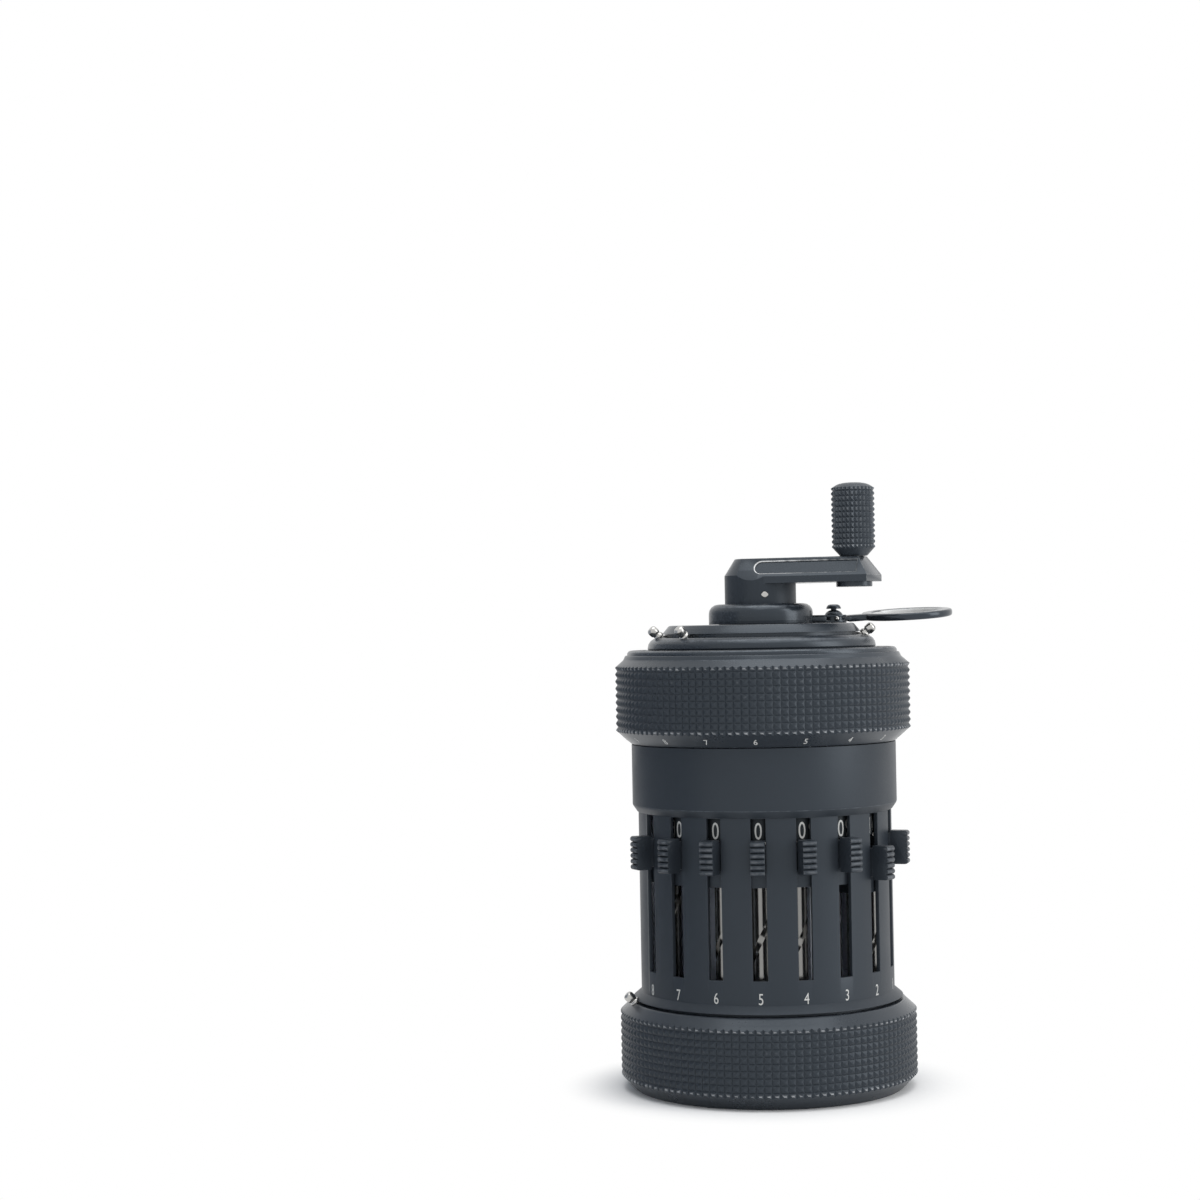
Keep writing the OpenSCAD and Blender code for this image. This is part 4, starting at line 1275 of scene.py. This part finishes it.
def carriage_cover():
    dome_z = extent("carriage_cover")[1].z
    ceiling = dome_z - COVER_T
    ring_in, ring_out, ring_z = WINDOW_RING
    bm = new_mesh()
    turn(bm, [
        (COVER_HOLE, ceiling), (COVER_HOLE, dome_z, 0.1), (DOME_R, dome_z, 0.3),
        (DOME_FOOT_R, GROOVE_TOP, 0.08), (GROOVE_R, GROOVE_TOP), (GROOVE_R, LEDGE_Z),
        (SHOULDER_R, LEDGE_Z, LEDGE_Z - SHOULDER_Z), (SHOULDER_R, SHOULDER_Z - 0.1),
        (ring_in, ring_z), (WINDOW_IN, ring_z), (WINDOW_OUT, ring_z),
        (ring_out, ring_z, WINDOW_EDGE), (ring_out, COVER_UNDER), (WINDOW_OUT, COVER_UNDER),
        (WINDOW_IN, COVER_UNDER), (CAVITY_R, COVER_UNDER), (CAVITY_R, ceiling),
    ], COVER_STEPS)
    bmesh.ops.recalc_face_normals(bm, faces=bm.faces)
    for n in DIALS:
        bmesh.ops.delete(bm, geom=window_faces(bm, dial_deg(n)), context="FACES_KEEP_BOUNDARY")
        bmesh.ops.bridge_loops(bm, edges=open_edges(bm))
    return finish_piece("cover", bm, [gloss_enamel], "carriage_cover")


carriage_cover()

# %% Number dials
DIAL_R = 3.459
DIAL_OUT = 23.75
DIAL_IN = 20.75
DIAL_Z = 72.891
AXLE_R = 0.7
AXLE_SOFT = 0.05
AXLE_LAP = 0.5
DIAL_GEAR_IN = GEAR_CIRCLE + GEAR_R + 0.3
DIAL_GEAR = (DIAL_GEAR_IN, DIAL_GEAR_IN + 1, 1.9)
DIAL_FIGURE = (2.1, 0.7)
DIAL_STEPS = 60
DIAL_DISH = (1.5, 1.3, 0.2)
DIAL_SOFT = 0.12


def on_dial(digit):
    """Wraps onto a dial whose axle points at the reader. The figure's head points inwards."""
    def place(along, up, out):
        turned = along / DIAL_R + math.radians(DIGIT_DEG * digit)
        reach = DIAL_R + out
        return Vector((reach * math.sin(turned), reach * math.cos(turned), (DIAL_OUT + DIAL_IN) / 2 - up))

    return place


def number_dial():
    """Dial drawn lying down: its own axis is Z, from the carriage's middle outwards."""
    gear_in, gear_out, gear_r = DIAL_GEAR
    rim_r, dish_r, dish = DIAL_DISH
    bm = new_mesh()
    turn(bm, [
        (0, DIAL_IN), (DIAL_R, DIAL_IN, DIAL_SOFT), (DIAL_R, DIAL_OUT, DIAL_SOFT), (rim_r, DIAL_OUT),
        (dish_r, DIAL_OUT - dish), (0, DIAL_OUT - dish),
    ], DIAL_STEPS, closed=False)
    add_rod(bm, AXLE_R, gear_in + AXLE_LAP, DIAL_IN, 0, AXLE_SOFT)
    add_gear(bm, gear_r, gear_out - gear_in, (0, 0, (gear_in + gear_out) / 2))
    for digit in range(10):
        lay_figure(bm, str(digit), *DIAL_FIGURE, 1, on_dial(digit))
    return bm


def laid_down(height, way=1):
    """Lays what was drawn upright down along Y, at a height."""
    return Matrix.Translation((0, 0, height)) @ Matrix.Rotation(way * QUARTER_TURN, 4, "X")


def place_dial(node, n):
    bm = number_dial()
    move(bm, around(dial_deg(n)) @ laid_down(DIAL_Z))
    return finish_piece("figured_" + node, bm, [dial_black, figure_white], node)


for n in range(1, RESULT_COUNT + 1):
    place_dial(f"result_dial_{n}", n)
for n in range(1, COUNTER_COUNT + 1):
    place_dial(f"counter_dial_{n}", RESULT_COUNT + n)

# %% [markdown]
# ## Clearing lever and finger ring
# The lever turns on the dome round the crank's hub. A finger in its ring sweeps it round once to set the
# dials back to zero. The ring folds sideways on a pivot with a small mushroom head, and a steel ball
# holds it in place.

# %% Plates
EYE_STEPS = 16


def add_plate(bm, outline, low, high, round_edge=0.08):
    """A flat plate from its plan outline."""
    part = new_mesh()
    face = part.faces.new([part.verts.new((x, y, low)) for x, y in outline])
    pull(part, [face], (0, 0, high - low))
    soften(part, sharp_edges(part), round_edge)
    add_mesh(bm, part)


def strip(start_half, start, end_half, end):
    """Outline of a strip along Y, from its start to its end."""
    return [(start_half, start), (-start_half, start), (-end_half, end), (end_half, end)]


def eye_outline(reach_from, eye_at, half):
    """Strip from the hub with a half-round end, pointing at -Y."""
    arc = [math.pi * step / EYE_STEPS for step in range(EYE_STEPS + 1)]
    eye = [(half * math.cos(a), -eye_at - half * math.sin(a)) for a in arc]
    return [(half, -reach_from), *eye, (-half, -reach_from)]


# %% Clearing lever
LEVER_DEG = 100
LEVER_Z = extent("carriage_cover")[1].z + 0.05
LEVER_HUB = (6.5, 7.55, 9.35, 3.6)
LEVER_ROUND = 1.7
LEVER_SINK = 0.04
HUB_LAP = 1
BAR_W = 4.6
BAR_T = 1.4
LEAF_T = 0.4
LEAF_SOFT = 0.06
LEAF_LAP = 0.02
FORK_CUT = 2.17
PIVOT_R = 13.8
PIVOT_PIN = 0.8
BUTTON_FOOT = (1.65, 0.87)
BUTTON_NECK = 0.5
BUTTON_HEAD = (1.38, 0.8, 1.9)
ROUND_SIDES = 32


def pivot_button(bm):
    """Pin through the fork, and above the bar a domed foot, a neck and a rounded head."""
    foot_r, foot_h = BUTTON_FOOT
    head_r, head_h, head_z = BUTTON_HEAD
    top = BAR_T + head_z
    under = top - head_h
    section = [
        (0, LEAF_LAP), (PIVOT_PIN, LEAF_LAP), (PIVOT_PIN, BAR_T), (foot_r, BAR_T, 0.08),
        (foot_r * 0.75, BAR_T + foot_h * 0.8, 0.5), (BUTTON_NECK, BAR_T + foot_h, 0.1),
        (BUTTON_NECK, under, 0.05), (head_r, under, 0.12), (head_r * 0.8, top, 0.5), (0, top),
    ]
    add_turned(bm, section, ROUND_SIDES, Matrix.Translation((0, -PIVOT_R, LEVER_Z)))


def clearing_lever():
    bore, spigot, hub, height = LEVER_HUB
    half = BAR_W / 2
    bar_z = LEVER_Z + BAR_T
    bm = new_mesh()
    for low, high in ((LEVER_Z - LEVER_SINK, LEVER_Z + LEAF_T), (bar_z - LEAF_T, bar_z)):
        add_plate(bm, eye_outline(hub - HUB_LAP, PIVOT_R, half), low, high, LEAF_SOFT)
    root = strip(half, HUB_LAP - hub, half, FORK_CUT - PIVOT_R)
    add_plate(bm, root, LEVER_Z + LEAF_LAP, bar_z - LEAF_LAP)
    pivot_button(bm)
    move(bm, around(LEVER_DEG))
    turn(bm, [
        (bore, LEVER_Z - COVER_T), (spigot, LEVER_Z - COVER_T), (spigot, LEVER_Z), (hub, LEVER_Z, 0.06),
        (hub, LEVER_Z + height, LEVER_ROUND), (bore, LEVER_Z + height, 0.1),
    ], TURN_STEPS)
    return finish_piece("clearing_arm", bm, [gloss_enamel], "clearing_lever")


clearing_lever()

# %% Detent ball
BALL_R = 0.45
BALL_IN = 0.2


def add_ball(bm, radius, place):
    ball = new_mesh()
    bmesh.ops.create_icosphere(ball, subdivisions=3, radius=radius)
    move(ball, Matrix.Translation(place))
    add_mesh(bm, ball)


def detent_ball():
    bm = new_mesh()
    seat = Vector((-BAR_W / 2, -PIVOT_R + BALL_IN, LEVER_Z + BAR_T / 2))
    add_ball(bm, BALL_R, around(LEVER_DEG) @ seat)
    return finish_piece("detent_ball", bm, [marker_steel], body="clearing")


detent_ball()

# %% Finger ring
RING_OUT = 8.25
RING_IN = 6.25
RING_T = 1.3
RING_ROUND = 0.45
RING_LIFT = math.radians(-3.2)
RING_TWIST = math.radians(-3)
TONGUE_T = 0.58
TONGUE_R = 2.15
STEM_W = 2.8
STEM_FROM = 16.3
STEM_NECK = 0.36
STEM_T = 0.92
STEM_SOFT = 0.3
STEM_LAP = 0.9
TONGUE_LAP = 0.4
TONGUE_FROM = 1.2
PIVOT_GAP = 0.05
RING_MIDDLE = 27.8
RING_STEPS = 96
EYE_SIDES = 48
RING_WORN = RING_IN + 0.1


def finger_ring():
    middle = LEVER_Z + BAR_T / 2
    low, high = middle - TONGUE_T / 2, middle + TONGUE_T / 2
    half = RING_T / 2
    bm = new_mesh()
    corners = ((RING_IN, -half), (RING_OUT, -half), (RING_OUT, half), (RING_IN, half))
    turn(bm, [(*corner, RING_ROUND) for corner in corners], RING_STEPS)
    move(bm, Matrix.Translation((0, -RING_MIDDLE, 0)))
    stem = strip(STEM_W * STEM_NECK, -STEM_FROM, STEM_W / 2, RING_OUT - STEM_LAP - RING_MIDDLE)
    add_plate(bm, stem, -half * STEM_T, half * STEM_T, STEM_SOFT)
    tilt = Matrix.Rotation(RING_TWIST, 4, "Y") @ Matrix.Rotation(RING_LIFT, 4, "X")
    move(bm, Matrix.Translation((0, -STEM_FROM, middle)) @ tilt @ Matrix.Translation((0, STEM_FROM, 0)))
    tongue = strip(STEM_W / 2, -STEM_FROM - TONGUE_LAP, STEM_W / 2, -PIVOT_R - TONGUE_FROM)
    add_plate(bm, tongue, low, high, LEAF_SOFT)
    bore = PIVOT_PIN + PIVOT_GAP
    eye = [(bore, low), (TONGUE_R, low), (TONGUE_R, high), (bore, high)]
    add_turned(bm, eye, EYE_SIDES, Matrix.Translation((0, -PIVOT_R, 0)), closed=True)
    wear_and_highlight = bm.verts.layers.float["wear_and_highlight"]
    for vert in bm.verts:
        from_middle = vert.co.xy + Vector((0, RING_MIDDLE))
        vert[wear_and_highlight] = 1 if from_middle.length < RING_WORN else 0
    move(bm, around(LEVER_DEG))
    return finish_piece("finger_loop", bm, [ring_enamel], "finger_ring")


finger_ring()

# %% [markdown]
# ## Crank
# The crank is a round hub under a coned cap, and an arm with sloping sides that run on over the cone as
# flats. A long shallow panel is let into each side. All these planes are in the solid already, so a copy
# of its mesh is joined up and only its edges are rounded. The long edges get thin lines of rubbed enamel.
# The panel rims get a near white painted highlight, partly rubbed enamel, which is brightest near the hub
# and fades towards the knob. The knob turns on a stud at the arm's end and has a finer knurl than the
# rings.

# %% Edges of the arm
FLAT_ANGLE = math.radians(0.3)
PANEL_Z = (91.45, 93.9)
PANEL_REACH = 20.5
ARM_EDGE_DEG = 30
ARM_UNDER = 91.2
ARM_OVER = 94.2
HUB_R = 6.6


def copy_node(node):
    """A copy of a node's mesh in millimetres, with loose triangles joined and flat faces made whole."""
    bm = new_mesh()
    bm.from_mesh(frame["nodes"][node].data)
    bmesh.ops.scale(bm, vec=(1 / MM, 1 / MM, 1 / MM), verts=bm.verts)
    bmesh.ops.remove_doubles(bm, verts=bm.verts, dist=WELD)
    bmesh.ops.dissolve_limit(bm, angle_limit=FLAT_ANGLE, verts=bm.verts[:], edges=bm.edges[:])
    return bm


def panel_rims(bm):
    """Edges where the two panels are let into the arm's sides."""
    low, high = PANEL_Z
    return [
        edge for edge in sharp_edges(bm, RIM_DEG)
        if edge.is_convex and all(low < v.co.z < high and v.co.xy.length < PANEL_REACH for v in edge.verts)
    ]


def arm_edges(bm):
    """The arm's long edges and its top edges, away from the hub's round."""
    def on_arm(vert):
        return vert.co.z > ARM_OVER or vert.co.xy.length > HUB_R and vert.co.z < ARM_UNDER

    return [
        edge for edge in sharp_edges(bm, ARM_EDGE_DEG)
        if edge.is_convex and all(on_arm(vert) for vert in edge.verts)
    ]


# %% Crank arm
CRANK_DEG = 64
ARM_SOFT = 0.12
ARM_SHARP = math.radians(22)
LONG_EDGE_WEAR = 0.4
PANEL_SOFT = 0.27
RIM_HIGHLIGHT_FADE = (6, 15, 0.35)


def fade_wear(bm):
    """Painted highlight: keeps the marked rims, partly rubbed enamel, bright near the hub and duller towards
    the knob.
    """
    wear_and_highlight = bm.verts.layers.float["wear_and_highlight"]
    ahead = around(CRANK_DEG) @ Vector((0, -1, 0))
    near, far, left = RIM_HIGHLIGHT_FADE
    for vert in bm.verts:
        share = (vert.co.dot(ahead) - near) / (far - near)
        vert[wear_and_highlight] *= 1 - (1 - left) * min(1, max(0, share))


def crank_arm():
    bm = copy_node("crank_arm")
    # The panel rims get a near white painted highlight, partly rubbed enamel, faded away from the hub.
    soften(bm, panel_rims(bm), PANEL_SOFT, segments=3, clamp=False)
    fade_wear(bm)
    soften(bm, arm_edges(bm), ARM_SOFT, clamp=False, worn_and_highlit=LONG_EDGE_WEAR)
    for face in bm.faces:
        middle = face.calc_center_median()
        face.material_index = int(middle.z < PANEL_Z[0] and middle.xy.length < HUB_R)
    finishes = [arm_enamel, satin_enamel]
    return finish_piece("crank_body", bm, finishes, "crank_arm", sharp=ARM_SHARP)


crank_arm()

# %% Knob
CRANK_R = 17.6
KNOB_COLUMNS = 30
KNOB_ROWS = 12
KNOB_NECK = 2.4
KNOB_CONE = 1.6
KNOB_DOME = 1.0
KNOB_CAP = 2.4
KNOB_KNURL = 0.29
KNOB_WEAR = 0.4
KNOB_BORE = 1.65
KNOB_CROWN = (0.72, 0.3)
KNOB_TIP = 0.4
CONE_LAND = 0.15
DOME_LAND = 0.6


def crank_knob():
    low_corner, high_corner = extent("crank_knob")
    radius = (high_corner.x - low_corner.x) / 2
    foot, top = low_corner.z, high_corner.z
    low, high = foot + KNOB_CONE, top - KNOB_DOME
    crown = (radius * KNOB_CROWN[0], top - KNOB_DOME * KNOB_CROWN[1])
    slopes = (KNOB_CONE / (radius - KNOB_NECK), (crown[1] - high) / (radius - crown[0]))
    bm = new_mesh()
    steps = knurl(bm, radius, (low, high), KNOB_ROWS, KNOB_COLUMNS, slopes, KNOB_KNURL, KNOB_WEAR)
    cone = (KNOB_NECK + CONE_LAND, foot + CONE_LAND * slopes[0])
    dome = (radius - DOME_LAND, high + DOME_LAND * slopes[1])
    cap = top - KNOB_CAP
    turn(bm, [
        cone, (KNOB_NECK, foot, 0.08), (KNOB_BORE, foot), (KNOB_BORE, cap), (0, cap),
    ], steps, closed=False)
    turn(bm, [dome, (*crown, 0.4), (radius * KNOB_TIP, top, 0.6), (0, top)], steps, closed=False)
    wear_and_highlight = bm.verts.layers.float["wear_and_highlight"]
    for vert in bm.verts:
        if vert.co.z > dome[1] + WELD:
            vert[wear_and_highlight] = 0
    join_rims(bm, (radius, low), cone)
    join_rims(bm, (radius, high), dome)
    move(bm, Matrix.Translation(around(CRANK_DEG) @ Vector((0, -CRANK_R, 0))))
    return finish_piece("knob", bm, [moulded_black], "crank_knob")


crank_knob()

# %% [markdown]
# ## Small pieces
# Decimal markers are bright pins that slide in a groove and lean outwards. The cross pin holds the crank
# to the shaft, and its rounded end shows at the front of the hub. The reversing lever at the back has a
# plain round button.

# %% Markers
UPPER_MARKER_DEG = (-85, -53, 73)
LOWER_MARKER_DEG = -82
MARKER_CIRCLE = 18.5
MARKER_PIN_R = 0.92
MARKER_PIN_LEN = 2.4
MARKER_LEAN = math.radians(48)
MARKER_BALL = 0.58
MARKER_WAIST = 0.78
MARKER_FOOT = (0.7, 0.3, 1.1)
MARKER_FOOT_Z = (0.05, 0.45)
MARKER_SINK = 0.1


def marker(name, node, degrees, edge_r, z):
    """A foot with a ball in the groove, and a waisted pin that leans outwards."""
    bm = new_mesh()
    thin = MARKER_PIN_R * MARKER_WAIST
    turn(bm, [
        (0, -MARKER_SINK), (MARKER_PIN_R, -MARKER_SINK, 0.15), (MARKER_PIN_R, 0.5, 0.1), (thin, 0.65, 0.1),
        (thin, 0.85, 0.1), (MARKER_PIN_R, 1.05, 0.15), (MARKER_PIN_R, MARKER_PIN_LEN, 0.6),
        (0, MARKER_PIN_LEN),
    ], ROUND_SIDES, closed=False)
    move(bm, Matrix.Translation((0, -edge_r, z + MARKER_SINK)) @ Matrix.Rotation(MARKER_LEAN, 4, "X"))
    half, out, back = MARKER_FOOT
    low, high = MARKER_FOOT_Z
    add_block(bm, (-half, -edge_r - out, z + low), (half, -edge_r + back, z + high))
    add_ball(bm, MARKER_BALL, (0, -edge_r + low, z + MARKER_BALL - low))
    move(bm, around(degrees))
    return finish_piece(name, bm, [marker_steel], node)


for index, degrees in enumerate(UPPER_MARKER_DEG, start=1):
    marker(f"decimal_pin_{index}", f"upper_marker_{index}", degrees, MARKER_CIRCLE, LEDGE_Z)
marker("base_decimal_pin", "lower_marker", LOWER_MARKER_DEG, *turned_size("marker_collar")[:2])

# %% Cross pin
PIN_R = 0.59
PIN_END = (0.6, 0.05, 0.04)
PIN_OVAL = (1.05, 0.68)
PIN_SEAT = 0.997


def cross_pin():
    low_corner, high_corner = extent("crank_pin")
    end_r, end_h, end_round = PIN_END
    bm = new_mesh()
    turn(bm, [
        (0, low_corner.y), (PIN_R, low_corner.y, 0.15), (PIN_R, high_corner.y, 0.15), (0, high_corner.y),
    ], ROUND_SIDES, closed=False)
    for end in (low_corner.y, high_corner.y):
        rivet = [(0, -end_h), (end_r, -end_h), (end_r, end_h, end_round), (0, end_h)]
        seat = Matrix.Translation((0, 0, end * PIN_SEAT))
        add_turned(bm, rivet, ROUND_SIDES, seat @ Matrix.Diagonal((*PIN_OVAL, math.copysign(1, end), 1)))
    move(bm, laid_down((low_corner.z + high_corner.z) / 2))
    return finish_piece("hub_pin", bm, [marker_steel], "crank_pin")


cross_pin()

# %% Reversing lever
BUTTON_R = 2.0
BUTTON_FACE = 25.14
BUTTON_STEPS = 64
BUTTON_STEM = 1.3
BUTTON_CLEAR = 0.3
BUTTON_KEEPER = (2.3, 1.5)
BUTTON_EDGE = 0.6


def reversing_lever():
    low_corner, high_corner = extent("reversing_lever")
    keeper_r, keeper_t = BUTTON_KEEPER
    inside = low_corner.y
    keeper = inside + keeper_t
    outside = HOUSING_R + BUTTON_CLEAR
    bm = new_mesh()
    turn(bm, [
        (0, inside), (keeper_r, inside, 0.1), (keeper_r, keeper, 0.1), (BUTTON_STEM, keeper),
        (BUTTON_STEM, outside), (BUTTON_R, outside, 0.1), (BUTTON_R, BUTTON_FACE - BUTTON_EDGE, 0.1),
        (BUTTON_R - BUTTON_EDGE, BUTTON_FACE, 0.15), (0.9, BUTTON_FACE), (0.6, BUTTON_FACE - 0.25, 0.15),
        (0, BUTTON_FACE - 0.3),
    ], BUTTON_STEPS, closed=False)
    move(bm, laid_down((low_corner.z + high_corner.z) / 2, -1))
    return finish_piece("reversing_button", bm, [satin_enamel], "reversing_lever")


reversing_lever()

# %% [markdown]
# ## Inner works
# What is left of the solid model is inside the casing or under the foot, and its shape is right as it is.
# Those nodes only get a finish: enamel for the floor plate, and bare steel for plates, shafts and drum.
# The coil spring that presses the carriage down is a round wire swept by a spin that climbs. On the real
# object it shortens towards its foot as the carriage lifts, because its upper end stays under the nut of
# the centre tube.

# %% Carriage spring
SPRING_WIRE = 0.8
SPRING_TURNS = 6
SPRING_STEPS = 192
SPRING_SIDES = 10


def carriage_spring():
    low_corner, high_corner = extent("carriage_spring")
    length = high_corner.z - low_corner.z
    bm = new_mesh()
    half = SPRING_WIRE / 2
    bmesh.ops.create_circle(bm, segments=SPRING_SIDES, radius=half)
    foot = Matrix.Translation((high_corner.x - half, 0, low_corner.z + half))
    move(bm, foot @ Matrix.Rotation(QUARTER_TURN, 4, "X"))
    bmesh.ops.spin(
        bm, geom=bm.verts[:] + bm.edges[:], cent=CENTRE, axis=AXIS, angle=FULL_TURN * SPRING_TURNS,
        dvec=(0, 0, (length - SPRING_WIRE) / SPRING_STEPS), steps=SPRING_STEPS,
    )
    bmesh.ops.holes_fill(bm, edges=open_edges(bm))
    piece = finish_piece("lift_spring", bm, [inner_steel], "carriage_spring")
    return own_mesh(piece)


carriage_spring()

# %% Inner finishes
INNER = (
    "lower_plate", "upper_plate", "transmission_shafts", "thrust_sleeve", "main_shaft", "step_drum",
    "carry_bell", "carriage_sleeve", "dial_frame",
)


def dress_node(node, material):
    slots = frame["nodes"][node].data.materials
    slots.clear()
    slots.append(material)


for node in INNER:
    dress_node(node, inner_steel)
dress_node("base_plate", satin_enamel)
print("dressed", len(INNER) + 1, "inner nodes")
